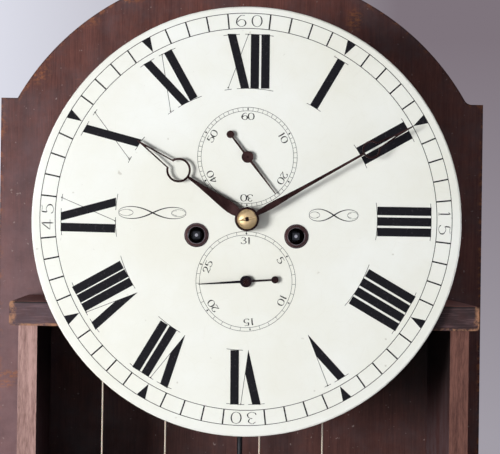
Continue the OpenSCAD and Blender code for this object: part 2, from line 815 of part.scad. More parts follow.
module back_plate() {
    color([0.75, 0.62, 0.36]) difference() {
        at(centre) slab(out_y, rear_y) plate_shape();
        for (p = [centre, going, strike]) at(p) rod(out_y - 1, rear_y + 1, 1.6 + run);
        for (p = [third, pin_wheel, warning, hammer_at, gather])
            at(p) rod(out_y - 1, rear_y + 1, 0.9 + run);
        at(fly_at) rod(out_y - 1, rear_y + 1, 0.6 + run);
        at(escape) rod(out_y - 1, rear_y + 1, 0.8 + run);
        // Window for the pallet arbor, which runs on to the back cock
        at(pallet) rod(out_y - 1, rear_y + 1, 6);
        for (s = [-1, 1]) for (p = [low_pillar, top_pillar])
            at([s * p[0], p[1]]) rod(out_y - 1, rear_y + 1, 2.6);
    }
}

module pillars() {
    end_r = pillar_r + 1.5;
    mid_r = pillar_r + pillar_swell;
    mid = plate_gap / 2;
    color([0.78, 0.64, 0.36]) for (s = [-1, 1]) for (p = [low_pillar, top_pillar]) at([s * p[0], p[1]]) {
        turned(in_y) polygon(concat(
            [[0, 0], [end_r, 0], [end_r, 2.5], [pillar_r, 4]],
            [[pillar_r, mid - 5], [mid_r, mid - 3], [mid_r, mid + 3], [pillar_r, mid + 5]],
            [[pillar_r, plate_gap - 4], [end_r, plate_gap - 2.5], [end_r, plate_gap], [0, plate_gap]]
        ));
        rod(plate_y - 3, in_y + 1, 2.55);
        rod(out_y - 1, rear_y + 3, 2.55);
        translate([0, plate_y - 1.5, 0]) rotate([0, 60, 0]) cylinder(h = 12, r = 0.7, center = true);
        translate([0, rear_y + 1.5, 0]) rotate([0, 60, 0]) cylinder(h = 12, r = 0.7, center = true);
    }
}

// The cock that carries the pallet arbor and the pendulum
module back_cock() {
    color([0.76, 0.62, 0.35]) difference() {
        union() {
            at(pallet) slab(rear_y + 3, rear_y + 6.5) polygon([[-24, -7], [24, -7], [24, 7], [9, 9], [-9, 9], [-24, 7]]);
            for (s = [-1, 1]) at(pallet + [s * 18, 0]) rod(rear_y, rear_y + 3.2, 5);
            at(pallet) slab(rear_y + 6, bob_y + 6) polygon([[-8, 1.5], [8, 1.5], [8, 6.5], [-8, 6.5]]);
            for (s = [-1, 1]) at(pallet + [s * 18, 0]) rod(rear_y + 6, rear_y + 8.5, 3.6);
        }
        // Slot for the suspension spring
        at(pallet) slab(bob_y - 5, bob_y + 8) polygon([[-0.6, 0], [0.6, 0], [0.9, 8], [-0.9, 8]]);
        at(pallet) rod(rear_y + 2, rear_y + 7, 1 + run);
    }
}

// Bell and its stand
bell_at = [-6, 96];
bell_h = 34;
bell_y = in_y + 32.5;

module bell_stand() {
    foot = [38, 80];
    post_y = rear_y + 4;
    top = bell_at[1] + bell_h + 9;
    v = [foot[0] - bell_at[0], post_y - bell_y];
    color([0.45, 0.45, 0.47]) {
        at(foot) slab(rear_y, rear_y + 3) polygon([[-8, -9], [8, -9], [8, 9], [-8, 9]]);
        at(foot + [0, 4]) rod(rear_y + 2, rear_y + 8.5, 2.4);
        translate([foot[0], post_y, arbor_h + foot[1] - 6]) cylinder(h = top - foot[1] + 10, r = 3);
        // Arm to the middle of the bell, in a boss at its far end
        translate([bell_at[0], bell_y, arbor_h + top]) rotate([0, 90, atan2(v[1], v[0])])
            cylinder(h = norm(v), r = 2.4);
        translate([bell_at[0], bell_y, arbor_h + top - 4]) cylinder(h = 8, r = 3.8);
        translate([bell_at[0], bell_y, arbor_h + bell_at[1] + bell_h - 6.4])
            cylinder(h = top - bell_at[1] - bell_h + 6, r = 2);
        translate([bell_at[0], bell_y, arbor_h + bell_at[1] + bell_h]) cylinder(h = 3.5, r = 4.6);
        translate([bell_at[0], bell_y, arbor_h + bell_at[1] + bell_h - 7]) cylinder(h = 3.2, r = 4);
    }
}

module bell() {
    r = bell_d / 2;
    t = 3;
    color([0.78, 0.68, 0.42]) translate([bell_at[0], bell_y, arbor_h + bell_at[1]]) rotate_extrude() polygon(concat(
        [[r - t, 0], [r, 0]],
        [for (i = [1:11]) [r * pow(cos(i * 7.5), 0.7) + 0.02, bell_h * sin(i * 7.5)]],
        [[2.05, bell_h], [2.05, bell_h - t]],
        [for (i = [11:-1:1]) [(r - t) * pow(cos(i * 7.5), 0.7) + 0.02, (bell_h - t) * sin(i * 7.5)]]
    ));
}

// Going train
// An arbor between the plates with its two pivots
module pivoted(r, pr) {
    rod(in_y + pass, out_y - pass, r);
    rod(plate_y, in_y + pass + 0.2, pr);
    rod(out_y - pass - 0.2, rear_y, pr);
}

module centre_arbor() {
    color([0.72, 0.6, 0.35]) at(centre) difference() {
        union() {
            rod(cannon_y - 1.5, out_y - pass, 1.6);
            rod(in_y + 6, out_y - pass, 1.9);
            rod(minutehand_y - 5.4, cannon_y, 1.2);
            rod(out_y - pass - 0.2, rear_y, 1.6);
            slab(in_y + great_t - 1.5, in_y + centre_t - 0.5) loops([pinion_teeth(leaves8, great_m, 0)]);
            slab(in_y + centre_t, in_y + centre_t + wheel_w)
                wheel_shape(wheel_teeth(centre_n, centre_m, 0), 4.5, centre_m * centre_n / 2 - 3.4, 4, 2.6);
            rod(in_y + centre_t - 0.5, in_y + centre_t + 3, 4);
        }
        // Cross hole for the pin in front of the cap
        translate([0, minutehand_y - 4.2, 0]) rotate([0, cap_pin_tilt, 0]) cylinder(h = 8, r = 0.85, center = true);
    }
}

module cannon_wheel() {
    color([0.75, 0.62, 0.36]) at(centre) difference() {
        union() {
            slab(cannon_y, cannon_y + wheel_w) loops([wheel_teeth(cannon_n, cannon_m, 0)]);
            rod(minutehand_y + 0.05, cannon_y + 0.5, cannon_r);
        }
        rod(minutehand_y - 1, cannon_y + 3, 1.65);
    }
}

module third_arbor() {
    th = ang(third);
    color([0.72, 0.6, 0.35]) at(third) {
        pivoted(1.9, 0.9);
        slab(in_y + centre_t - 2, in_y + third_t - 1)
            loops([pinion_teeth(leaves8, centre_m, mesh(th, centre_n, 0, leaves8))]);
        slab(in_y + third_t, in_y + third_t + wheel_w)
            wheel_shape(wheel_teeth(third_n, third_m, 0), 4.6, third_m * third_n / 2 - 3, 4, 2.4);
        rod(in_y + third_t - 1.4, in_y + third_t + 2.4, 4);
    }
}

// Escape wheel teeth: thin, leaning the way the wheel turns, each with a curved back
function escape_teeth(n, r) = [for (i = [0:n - 1]) each [
    polar(r - 3.4, 360 / n * (i - 0.66)),
    polar(r - 2, 360 / n * (i - 0.63)),
    polar(r - 0.05, 360 / n * (i - 0.58)),
    polar(r, 360 / n * (i - 0.52)),
    polar(r - 1.2, 360 / n * (i - 0.36)),
    polar(r - 2.6, 360 / n * (i - 0.14)),
    polar(r - 3.4, 360 / n * (i + 0.02))
]];

module escape_arbor() {
    color([0.74, 0.62, 0.36]) at(escape) {
        pivoted(1.5, 0.8);
        rod(plate_y - 0.2, in_y + pass + 0.2, 1.2);
        rod(subhand_y - 0.4, plate_y, 1);
        slab(in_y + third_t - 1.5, in_y + third_t + 3)
            loops([pinion_teeth(leaves7, third_m, mesh(ang(escape - third), third_n, 0, leaves7))]);
        slab(in_y + escape_t, in_y + escape_t + 1.4)
            wheel_shape(escape_teeth(escape_n, escape_r), 4, escape_r - 5.6, 4, 2.2);
        rod(in_y + escape_t - 1, in_y + escape_t + 2.6, 3.4);
    }
}

// Anchor, pallet arbor and crutch
crutch_l = 112;

module anchor_shape() {
    // Drawn about the escape arbor, then moved to the pallet arbor
    up = escape_r * sqrt(2);
    tip = escape_r + 1.45;
    union() {
        circle(r = 5);
        translate([0, -up]) loops([band(tip + 1.4, tip + 5, 40, 140, 20)]);
        translate([0, -up]) polygon([polar(tip + 2, 52), polar(tip, 44.5), polar(tip + 3, 38), polar(tip + 4, 46)]);
        translate([0, -up]) polygon([polar(tip + 2, 128), polar(tip, 135.5), polar(tip + 3, 142), polar(tip + 4, 134)]);
    }
}

module anchor() {
    fork_z = -crutch_l;
    fork_x = rod_r + pass + 0.1;
    color([0.5, 0.5, 0.53]) at(pallet) {
        slab(in_y + anchor_t, in_y + anchor_t + 5.5) anchor_shape();
        rod(in_y + pass, rear_y + 3 - pass, 1.8);
        rod(plate_y, in_y + pass + 0.2, 1);
        rod(rear_y + 3 - pass - 0.2, rear_y + 6, 1);
        // Crutch: a flat collet, a thin rod down, and a fork back to the pendulum rod
        rod(rear_y + 0.4, rear_y + 2.4, 4.4);
        translate([0, rear_y + 1.4, -crutch_l]) cylinder(h = crutch_l - 2, r = 0.95);
        translate([-fork_x - 1.4, rear_y + 0.2, fork_z - 2]) cube([2 * fork_x + 2.8, 2.4, 4]);
        for (s = [-1, 1]) translate([s > 0 ? fork_x : -fork_x - 1.4, rear_y + 0.2, fork_z - 2])
            cube([1.4, bob_y + 5 - rear_y, 4]);
    }
}

// Pendulum
module pendulum_rod() {
    low = pendulum_l + bob_d / 2 + 26;
    color([0.42, 0.42, 0.45]) at(pallet) {
        translate([-4, bob_y - 3.5, 7.4]) cube([8, 7, 7]);
        translate([-0.15, bob_y - 3, -13]) cube([0.3, 6, 24]);
        translate([-2.2, bob_y - 3.2, -24]) cube([4.4, 6.4, 12]);
        translate([0, bob_y, -low]) cylinder(h = low - 14, r = rod_r);
    }
}

module pendulum_bob() {
    h = bob_d / 2;
    rr = (h * h + pow(bob_t / 2, 2)) / bob_t;
    color([0.78, 0.64, 0.34]) at(pallet) difference() {
        translate([0, bob_y, -pendulum_l]) rotate([90, 0, 0]) intersection() {
            translate([0, 0, bob_t / 2 - rr]) sphere(r = rr, $fn = 96);
            translate([0, 0, rr - bob_t / 2]) sphere(r = rr, $fn = 96);
            cylinder(h = bob_t + 2, r = h - 0.8, center = true);
        }
        translate([0, bob_y, -pendulum_l - bob_d]) cylinder(h = 2 * bob_d, r = rod_r + run);
    }
}

module rating_nut() {
    z = -pendulum_l - bob_d / 2;
    color([0.76, 0.62, 0.34]) at(pallet) difference() {
        translate([0, bob_y, z]) rotate_extrude() polygon([
            [0, 0], [4, 0], [6, -2], [9, -3], [9, -8], [6, -9.5], [4, -15], [0, -15]
        ]);
        translate([0, bob_y, z - 20]) cylinder(h = 30, r = rod_r + run);
    }
}

// Barrels and great wheels
module barrel() {
    groove = drum_l / 16;
    color([0.76, 0.62, 0.36]) {
        turned(in_y + barrel_t) polygon(concat(
            [[0, 0], [flange_r, 0], [flange_r, drum_t - barrel_t]],
            [for (i = [0:15]) each [
                [drum_r, drum_t - barrel_t + groove * (i + 0.15)],
                [drum_r - 0.5, drum_t - barrel_t + groove * (i + 0.5)],
                [drum_r, drum_t - barrel_t + groove * (i + 0.85)]
            ]],
            [[flange_r, flange_t - barrel_t], [flange_r, ratchet_t - barrel_t], [0, ratchet_t - barrel_t]]
        ));
        slab(in_y + ratchet_t - 0.2, in_y + great_t - 0.4) loops([ratchet_teeth(36, 19, 1.6, 1)]);
        rod(plate_y - 0.2, in_y + barrel_t + 0.5, 4.2);
        rod(in_y + great_t - 1, in_y + great_t + 6, 4.2);
        rod(in_y + great_t + 5, out_y - pass, 3.2);
        rod(out_y - pass - 0.2, rear_y, 1.6);
        // Winding square
        translate([-square_half, dial_y + 5, -square_half])
            cube([2 * square_half, plate_y - dial_y - 5, 2 * square_half]);
    }
}

module going_barrel() {
    at(going) barrel();
}

module strike_barrel() {
    at(strike) barrel();
}

// A great wheel with its click, click spring and hub; it turns on the barrel's arbor
module great_wheel(n, m, phase) {
    color([0.76, 0.62, 0.36]) difference() {
        union() {
            slab(in_y + great_t, in_y + great_t + great_w) loops([wheel_teeth(n, m, phase)]);
            rod(in_y + great_t + great_w - 0.2, in_y + great_t + great_w + 2, 8);
            slab(in_y + great_t - 2.6, in_y + great_t - 0.1) polygon([
                polar(19.4, 60), polar(20.4, 52), polar(25.8, 22), polar(23, 18), polar(21.2, 24), polar(19.8, 50)
            ]);
            at_click = polar(23.6, 22);
            translate([at_click[0], 0, at_click[1]]) rod(in_y + great_t - 3, in_y + great_t + 0.2, 1.6);
        }
        rod(in_y + great_t - 2, in_y + great_t + 6, 4.2 + run);
    }
}

module going_great_wheel() {
    at(going) great_wheel(great_n, great_m, mesh(ang(going), leaves8, 0, great_n));
}

module strike_great_wheel() {
    at(strike) great_wheel(strike_n, strike_m, 0);
}

// Strike train
pin_r = pin_m * pin_n / 2 - 4.6;

module pin_wheel_arbor() {
    th = ang(pin_wheel - strike);
    color([0.72, 0.6, 0.35]) at(pin_wheel) {
        pivoted(1.7, 0.9);
        slab(in_y + great_t - 1.5, in_y + great_t + 4)
            loops([pinion_teeth(leaves8, strike_m, mesh(th, strike_n, 0, leaves8))]);
        slab(in_y + pinwheel_t, in_y + pinwheel_t + wheel_w)
            wheel_shape(wheel_teeth(pin_n, pin_m, 0), 4.2, pin_r - 2, 4, 2.4);
        for (i = [0:7]) rotate([0, i * 45 + 10, 0]) translate([pin_r, 0, 0])
            rod(in_y + pinwheel_t, in_y + pinwheel_t + wheel_w + 4, 0.8);
        rod(in_y + pinwheel_t - 1.5, in_y + pinwheel_t + 2.4, 3.6);
    }
}

// The gathering pallet is the single tooth and tail at the front of this arbor
module gathering_arbor() {
    th = ang(gather - pin_wheel);
    color([0.72, 0.6, 0.35]) at(gather) {
        pivoted(1.4, 0.9);
        rod(plate_y - 5, in_y + pass + 0.2, 1.1);
        slab(in_y + pinwheel_t - 1.5, in_y + pinwheel_t + 3)
            loops([pinion_teeth(leaves7, pin_m, mesh(th, pin_n, 0, leaves7))]);
        slab(in_y + gather_t, in_y + gather_t + 1.4)
            wheel_shape(wheel_teeth(gather_n, gather_m, 0), 3.8, gather_m * gather_n / 2 - 2.6, 4, 2);
        rod(in_y + gather_t - 1, in_y + gather_t + 2.2, 3.2);
        slab(plate_y - 4.6, plate_y - 2.6) union() {
            circle(r = 2.3);
            polygon([[-0.9, 0], [-0.5, 3.7], [0.7, 3.7], [1.2, 0]]);
        }
    }
}

module warning_arbor() {
    th = ang(warning - gather);
    color([0.72, 0.6, 0.35]) at(warning) {
        pivoted(1.2, 0.9);
        slab(in_y + gather_t - 2, in_y + gather_t + 3.5)
            loops([pinion_teeth(leaves7, gather_m, mesh(th, gather_n, 0, leaves7))]);
        slab(in_y + warning_t, in_y + warning_t + 1.2)
            wheel_shape(wheel_teeth(warning_n, warning_m, 0), 3, warning_m * warning_n / 2 - 2.2, 4, 1.8);
        rod(in_y + warning_t - 1, in_y + warning_t + 2, 2.6);
        // Warning pin, in front of the rim
        translate([0, 0, -warning_m * warning_n / 2 + 1.2])
            rod(in_y + warning_t - 3, in_y + warning_t + 0.2, 0.6);
    }
}

module fly() {
    th = ang(fly_at - warning);
    color([0.72, 0.6, 0.35]) at(fly_at) {
        pivoted(0.74, 0.6);
        slab(in_y + warning_t - 2, in_y + warning_t + 3.2)
            loops([pinion_teeth(leaves6, warning_m, mesh(th, warning_n, 0, leaves6))]);
        rod(in_y + fly_t - 2, in_y + fly_t + 24, 1.8);
        translate([-10, in_y + fly_t, -0.5]) cube([20, 22, 1]);
    }
}

module hammer() {
    // Tail to just outside the path of the pins, arm up to the head beside the bell
    v = pin_wheel - hammer_at;
    a = ang(v);
    tail = norm(v) - pin_r - 0.8 - pass;
    head = [bell_at[0] - bell_d / 2 - pass - 9, bell_at[1] + 7] - hammer_at;
    color([0.5, 0.5, 0.52]) at(hammer_at) {
        pivoted(1.8, 0.9);
        slab(in_y + pinwheel_t + wheel_w + 0.6, in_y + pinwheel_t + wheel_w + 3.4)
            rotate(a) union() {
                circle(r = 4);
                polygon([[0, -2.2], [tail - 2, -1.2], [tail, -0.4], [tail - 0.4, 0.8], [0, 2.2]]);
            }
        slab(in_y + hammer_t - 1.5, in_y + hammer_t + 1.5) union() {
            circle(r = 4);
            polygon([[-2.2, 0], head + [-1.4, 0], head + [1.4, 0], [2.2, 0]]);
        }
        translate([head[0] - 9, in_y + hammer_t, head[1]]) rotate([0, 90, 0])
            rotate_extrude() polygon([[0, 0], [4, 0], [5, 1.5], [5, 12], [2.6, 18], [0, 18]]);
    }
}

// Front work
reach = norm(gather - rack_at);
rack_tip_r = reach - 3.7 - pass;
rack_pitch = 1.73;
rack_a = ang(gather - rack_at);
tail_l = 54;
tail_pin_r = 0.8;
tail_rest = 13.3;
step_one = 15.5;

// Snail: each step lets the rack fall one tooth further
function step_at(k) = rack_at + polar(tail_l, step_one + (k - 1) * rack_pitch);
function snail_r(k) = norm(step_at(k)) - tail_pin_r;
function step_dir(k) = ang(step_at(k)) + 360;
rest_time = rest_hour + rest_minute / 60;
function edge_a(k) = k == 13
    ? step_dir(1) + 30 * (12.85 - rest_time)
    : k == 1
        ? step_dir(1) + 30 * (0.85 - rest_time)
        : (step_dir(k - 1) + step_dir(k)) / 2 + 30 * (k - 0.15 - rest_time);

module snail_shape() {
    polygon([for (k = [1:12]) each arc(snail_r(k), edge_a(k), edge_a(k + 1), 5)]);
}

module hour_wheel() {
    th = ang(-reverse);
    color([0.75, 0.62, 0.36]) at(centre) difference() {
        union() {
            slab(hour_y, hour_y + 1.5)
                loops([wheel_teeth(hour_n, hour_m, mesh(th, leaves6, 0, hour_n))]);
            slab(snail_y, snail_y + 1.6) snail_shape();
            rod(hourhand_y + 0.05, hour_y + 1, pipe_r);
            slab(day_y, day_y + 1.2) loops([wheel_teeth(day_gear_n, day_m, 0)]);
        }
        rod(hourhand_y - 1, hour_y + 3, bridge_r + run);
    }
}

module hour_bridge() {
    color([0.75, 0.62, 0.36]) at(centre) difference() {
        union() {
            slab(bridge_y, bridge_y + 1.3) rotate(ang(bridge_foot))
                polygon(concat(shift([norm(bridge_foot), 0], arc(4, 90, -90, 8)), [[0, -7]],
                    shift([-norm(bridge_foot), 0], arc(4, 270, 90, 8)), [[0, 7]]));
            for (s = [-1, 1]) at_offset(s * bridge_foot) rod(bridge_y + 0.5, plate_y, 3);
            rod(hourhand_y + 4, bridge_y + 0.5, bridge_r);
        }
        rod(hourhand_y, plate_y + 1, cannon_r + run + 0.05);
    }
}

module reverse_wheel() {
    th = ang(reverse);
    color([0.75, 0.62, 0.36]) at(reverse) difference() {
        union() {
            slab(cannon_y, cannon_y + wheel_w)
                loops([wheel_teeth(cannon_n, cannon_m, mesh(th, cannon_n, 0, cannon_n))]);
            slab(hour_y - 1.2, cannon_y + 0.2) loops([pinion_teeth(leaves6, hour_m, 0)]);
            // Pin that lifts the lifting piece
            translate([0, 0, -11]) rod(cannon_y - 2.4, cannon_y + 0.2, 0.75);
        }
        rod(hour_y - 3, plate_y, 0.78 + run);
    }
}

module rack() {
    teeth = 14;
    a0 = rack_a - 2.5;
    r = rack_tip_r;
    color([0.5, 0.5, 0.53]) at(rack_at) difference() {
        union() {
            slab(plate_y - 4.4, plate_y - 2.8) union() {
                circle(r = 5);
                polygon(concat(
                    [for (i = [0:teeth - 1]) each [
                        polar(r, a0 + i * rack_pitch),
                        polar(r - 1.8, a0 + (i + 0.12) * rack_pitch)
                    ]],
                    [polar(r, a0 + teeth * rack_pitch), polar(r - 2, a0 + teeth * rack_pitch + 4)],
                    arc(r - 7, a0 + teeth * rack_pitch + 2, a0, 8)
                ));
                polygon([polar(4.5, a0 + 105), polar(r - 5, a0 + 12), polar(r - 5, a0 + 8.5), polar(4.5, a0 - 75)]);
            }
            rod(plate_y - 12.6, plate_y - 2.8, 3);
            slab(plate_y - 12.6, plate_y - 11.2) rotate(tail_rest)
                polygon([[0, -2.6], [tail_l, -1.1], [tail_l + 1, 0], [tail_l, 1.1], [0, 2.6]]);
            rotate([0, -tail_rest, 0]) translate([tail_l, 0, 0]) rod(plate_y - 12.6, snail_y + 1.2, tail_pin_r);
        }
        rod(plate_y - 14, plate_y, 2 + run);
    }
}

module rack_hook() {
    // Nose just clear of the rack's tips, so that either can move
    nose = rack_at + polar(rack_tip_r + pass, rack_a + 17) - hook_at;
    color([0.5, 0.5, 0.53]) at(hook_at) difference() {
        union() {
            slab(plate_y - 4.4, plate_y - 2.8) union() {
                circle(r = 4);
                polygon([
                    [0, 3], nose + [12, 12], nose + [1, 9], nose + [-2.4, 8], nose, nose + [1, 4], nose + [12, 8], [0, -3]
                ]);
            }
        }
        rod(plate_y - 8, plate_y, 1.8 + run);
    }
}

module lifting_piece() {
    // Tail over the lifting pin, arm to just below the rack hook
    pin_top = reverse + [0, 11.75 + pass] - lift_at;
    color([0.5, 0.5, 0.53]) at(lift_at) difference() {
        union() {
            slab(cannon_y - 2.3, cannon_y - 0.7) union() {
                circle(r = 4);
                polygon([
                    [0, 3.5], [-30, 6.5], [-54, 9], [-72, 20], [-76, 30], [-78.5, 30], [-78, 19], [-60, 5.5],
                    pin_top + [-10, 0.6], pin_top, pin_top + [12, -1], [0, -3.5]
                ]);
            }
        }
        rod(plate_y - 10, plate_y, 1.8 + run);
    }
}

// Date work: a wheel that turns once a day, and the star wheel that its pin steps on
module date_driver() {
    th = ang(driver);
    color([0.75, 0.62, 0.36]) at(driver) difference() {
        union() {
            slab(day_y, day_y + 1.2)
                loops([wheel_teeth(day_wheel_n, day_m, mesh(th, day_gear_n, 0, day_wheel_n))]);
            rod(day_y - 0.8, day_y + 3, 3.6);
            pin_at = polar(norm(driver - date) - date_r + 1.6, ang(driver - date));
            translate([pin_at[0], 0, pin_at[1]]) rod(day_y - 4, day_y + 0.2, 0.8);
        }
        rod(day_y - 8, day_y + 8, 2 + run);
    }
}

module date_wheel() {
    color([0.75, 0.62, 0.36]) at(date) difference() {
        union() {
            slab(datewheel_y, datewheel_y + 1.4) loops([ratchet_teeth(date_n, date_r, 2.2, -1)]);
            rod(subhand_y, datewheel_y + 1, 2.25);
            rod(datewheel_y, datewheel_y + 4, 3.4);
        }
        rod(subhand_y - 2, datewheel_y + 6, 1.3 + run);
    }
}

// Lines, pulleys and weights
knot_r = 2.4;

// From the left of the barrel down, under the pulley, and up to its knot on the seatboard
module line(x, side) {
    top = arbor_h - wind_down;
    fixed_x = x + side * 2 * pulley_r;
    color([0.72, 0.6, 0.45]) {
        translate([x, line_y, low_z]) cylinder(h = top - low_z, r = line_r);
        translate([fixed_x, line_y, low_z]) cylinder(h = seat_z + 1 - low_z, r = line_r);
        translate([x + side * pulley_r, line_y, low_z]) rotate([90, 0, 0]) rotate_extrude(angle = -180)
            translate([pulley_r, 0]) circle(r = line_r);
        translate([fixed_x, line_y, seat_z + knot_r * 0.9]) sphere(r = knot_r);
    }
}

module going_line() {
    line(line_going_x, 1);
}

module strike_line() {
    line(line_strike_x, -1);
}

module pulley(x, side) {
    r = pulley_r - line_r;
    w = pulley_w / 2;
    color([0.76, 0.62, 0.34]) translate([x + side * pulley_r, line_y, low_z]) difference() {
        turned(-w) polygon([
            [0, 0], [r + 2.6, 0], [r + 2.6, 0.8], [r - pass, w - line_r - pass], [r - pass, w + line_r + pass],
            [r + 2.6, 2 * w - 0.8], [r + 2.6, 2 * w], [0, 2 * w]
        ]);
        rod(-w - 1, w + 1, 2 + run);
        for (a = [0:60:300]) rotate([0, a, 0]) translate([r * 0.55, 0, 0]) rod(-w - 1, w + 1, 4.2);
    }
}

module going_pulley() {
    pulley(line_going_x, 1);
}

module strike_pulley() {
    pulley(line_strike_x, -1);
}

stirrup_drop = pulley_r + 14;

// Two cheeks beside the pulley, joined below it, with the pin through them and a ring below
module stirrup(x, side) {
    w = pulley_w / 2 + pass;
    color([0.6, 0.56, 0.45]) translate([x + side * pulley_r, line_y, low_z]) {
        for (s = [-1, 1]) translate([0, s > 0 ? w : -w - 1.6, 0]) slab(0, 1.6) union() {
            circle(r = 6.5);
            polygon([[-5, 0], [5, 0], [5, -stirrup_drop], [-5, -stirrup_drop]]);
        }
        translate([-5, -w - 1.6, -stirrup_drop - 4]) cube([10, 2 * w + 3.2, 4.2]);
        rod(-w - 2.4, w + 2.4, 2);
        translate([0, 0, -stirrup_drop - 12]) rotate([90, 0, 0]) rotate_extrude()
            translate([ring[0], 0]) circle(r = ring[1]);
    }
}

module going_stirrup() {
    stirrup(line_going_x, 1);
}

module strike_stirrup() {
    stirrup(line_strike_x, -1);
}

// The ring below the stirrup and the eye on the weight, each [radius, half thickness]
ring = [8.2, 1.8];
eye = [6.6, 1.7];
eye_up = 13.5;
weight_top = low_z - stirrup_drop - 12 - (ring[0] + eye[0] - ring[1] - eye[1] - 0.1) - eye_up;

// Cast weight with a hook that goes through the stirrup's ring
module weight(x, side) {
    color([0.28, 0.28, 0.3]) translate([x + side * pulley_r, line_y, 0]) {
        translate([0, 0, weight_top - weight_l]) rotate_extrude() polygon([
            [0, 0], [weight_r - 3, 0], [weight_r, 3], [weight_r, weight_l - 6], [weight_r - 5, weight_l - 1.5],
            [7, weight_l], [0, weight_l]
        ]);
        translate([0, 0, weight_top - 1]) cylinder(h = 9, r = 2);
        translate([0, 0, weight_top + eye_up]) rotate([90, 0, 90]) rotate_extrude()
            translate([eye[0], 0]) circle(r = eye[1]);
    }
}

module going_weight() {
    weight(line_going_x, 1);
}

module strike_weight() {
    weight(line_strike_x, -1);
}

backboard();
trunk_side_left();
trunk_side_right();
trunk_front();
throat_moulding();
trunk_base_moulding();
plinth_box();
skirting();
door();
door_hinges();
door_leaves();
door_lock();
seatboard();
seatboard_hooks();
dial();
grommets();
front_plate();
back_plate();
pillars();
back_cock();
bell_stand();
bell();
hour_bridge();
centre_arbor();
cannon_wheel();
minute_hand();
hand_cap();
hour_wheel();
hour_hand();
reverse_wheel();
third_arbor();
escape_arbor();
seconds_hand();
anchor();
pendulum_rod();
pendulum_bob();
rating_nut();
going_great_wheel();
going_barrel();
strike_great_wheel();
strike_barrel();
pin_wheel_arbor();
gathering_arbor();
warning_arbor();
fly();
hammer();
rack();
rack_hook();
lifting_piece();
date_driver();
date_wheel();
date_hand();
going_line();
strike_line();
going_weight();
strike_weight();
going_pulley();
strike_pulley();
going_stirrup();
strike_stirrup();
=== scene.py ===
"""Dresses the longcase clock: painted dial, gut lines, the finish of every piece, and the studio stage."""
import json
import math
from functools import partial

import bmesh
import bpy
import numpy as np
from bpy.props import FloatProperty, FloatVectorProperty, IntProperty, PointerProperty
from mathutils import Matrix, Vector


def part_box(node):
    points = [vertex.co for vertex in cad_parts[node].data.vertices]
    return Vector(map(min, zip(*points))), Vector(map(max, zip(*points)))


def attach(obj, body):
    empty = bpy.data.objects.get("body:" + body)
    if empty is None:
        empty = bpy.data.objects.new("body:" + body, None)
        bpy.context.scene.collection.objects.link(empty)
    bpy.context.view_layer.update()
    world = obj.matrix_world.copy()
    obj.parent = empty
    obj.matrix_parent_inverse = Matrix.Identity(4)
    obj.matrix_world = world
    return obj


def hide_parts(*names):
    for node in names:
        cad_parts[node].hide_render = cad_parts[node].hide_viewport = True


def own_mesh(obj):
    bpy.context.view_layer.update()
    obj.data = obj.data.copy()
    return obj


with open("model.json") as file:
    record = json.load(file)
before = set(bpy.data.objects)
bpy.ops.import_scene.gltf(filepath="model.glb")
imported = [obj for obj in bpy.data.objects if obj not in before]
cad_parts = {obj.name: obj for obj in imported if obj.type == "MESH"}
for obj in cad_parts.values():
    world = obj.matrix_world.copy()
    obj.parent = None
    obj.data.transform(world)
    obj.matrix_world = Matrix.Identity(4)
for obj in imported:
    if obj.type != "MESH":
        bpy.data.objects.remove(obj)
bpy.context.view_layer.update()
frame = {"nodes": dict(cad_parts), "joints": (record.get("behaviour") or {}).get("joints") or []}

bl_info = {
    "name": "Longcase Clock",
    "version": (1, 0, 0),
    "blender": (4, 5, 0),
    "location": "View3D > Sidebar > Clock",
    "description": "Paints the dial, strings the lines and finishes every piece of a longcase clock",
    "category": "Object",
}

MM = 0.001


def linear(hex_colour):
    """sRGB hex to linear RGBA: c / 12.92 up to 0.04045, and ((c + 0.055) / 1.055) to the power 2.4 above."""
    c = np.array([int(hex_colour[i:i + 2], 16) for i in (0, 2, 4)]) / 255
    lin = np.where(c <= 0.04045, c / 12.92, ((c + 0.055) / 1.055) ** 2.4)
    return (*lin.tolist(), 1.0)


def joint_place(name):
    """The point that a joint turns about, from the packed record."""
    return Vector(next(j["pos_m"] for j in frame["joints"] if j["name"] == name))


# Places that come from the frame, in metres
DIAL_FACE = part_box("dial")[0].y
BOARD_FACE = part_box("backboard")[0].y
LEFT_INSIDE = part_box("trunk_side_left")[1].x
SEAT_LOW, SEAT_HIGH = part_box("seatboard")
ARBOR = joint_place("minute_turn")
SECONDS_ARBOR = joint_place("escape_turn")
DATE_ARBOR = joint_place("date_turn")


# Properties

def length(name, about, default):
    """A length property, given in millimetres."""
    return FloatProperty(name=name, description=about, default=default * MM, unit="LENGTH")


def colour(name, about, hex_colour):
    """A colour property, given as sRGB hex."""
    return FloatVectorProperty(name=name, description=about, subtype="COLOR", size=4, min=0, max=1,
                               default=linear(hex_colour))


def angle(name, about, degrees):
    """An angle property, given in degrees."""
    return FloatProperty(name=name, description=about, unit="ROTATION", default=math.radians(degrees))


def watts(name, about, default):
    """The power of a lamp."""
    return FloatProperty(name=name, description=about + ", in watts", default=default)


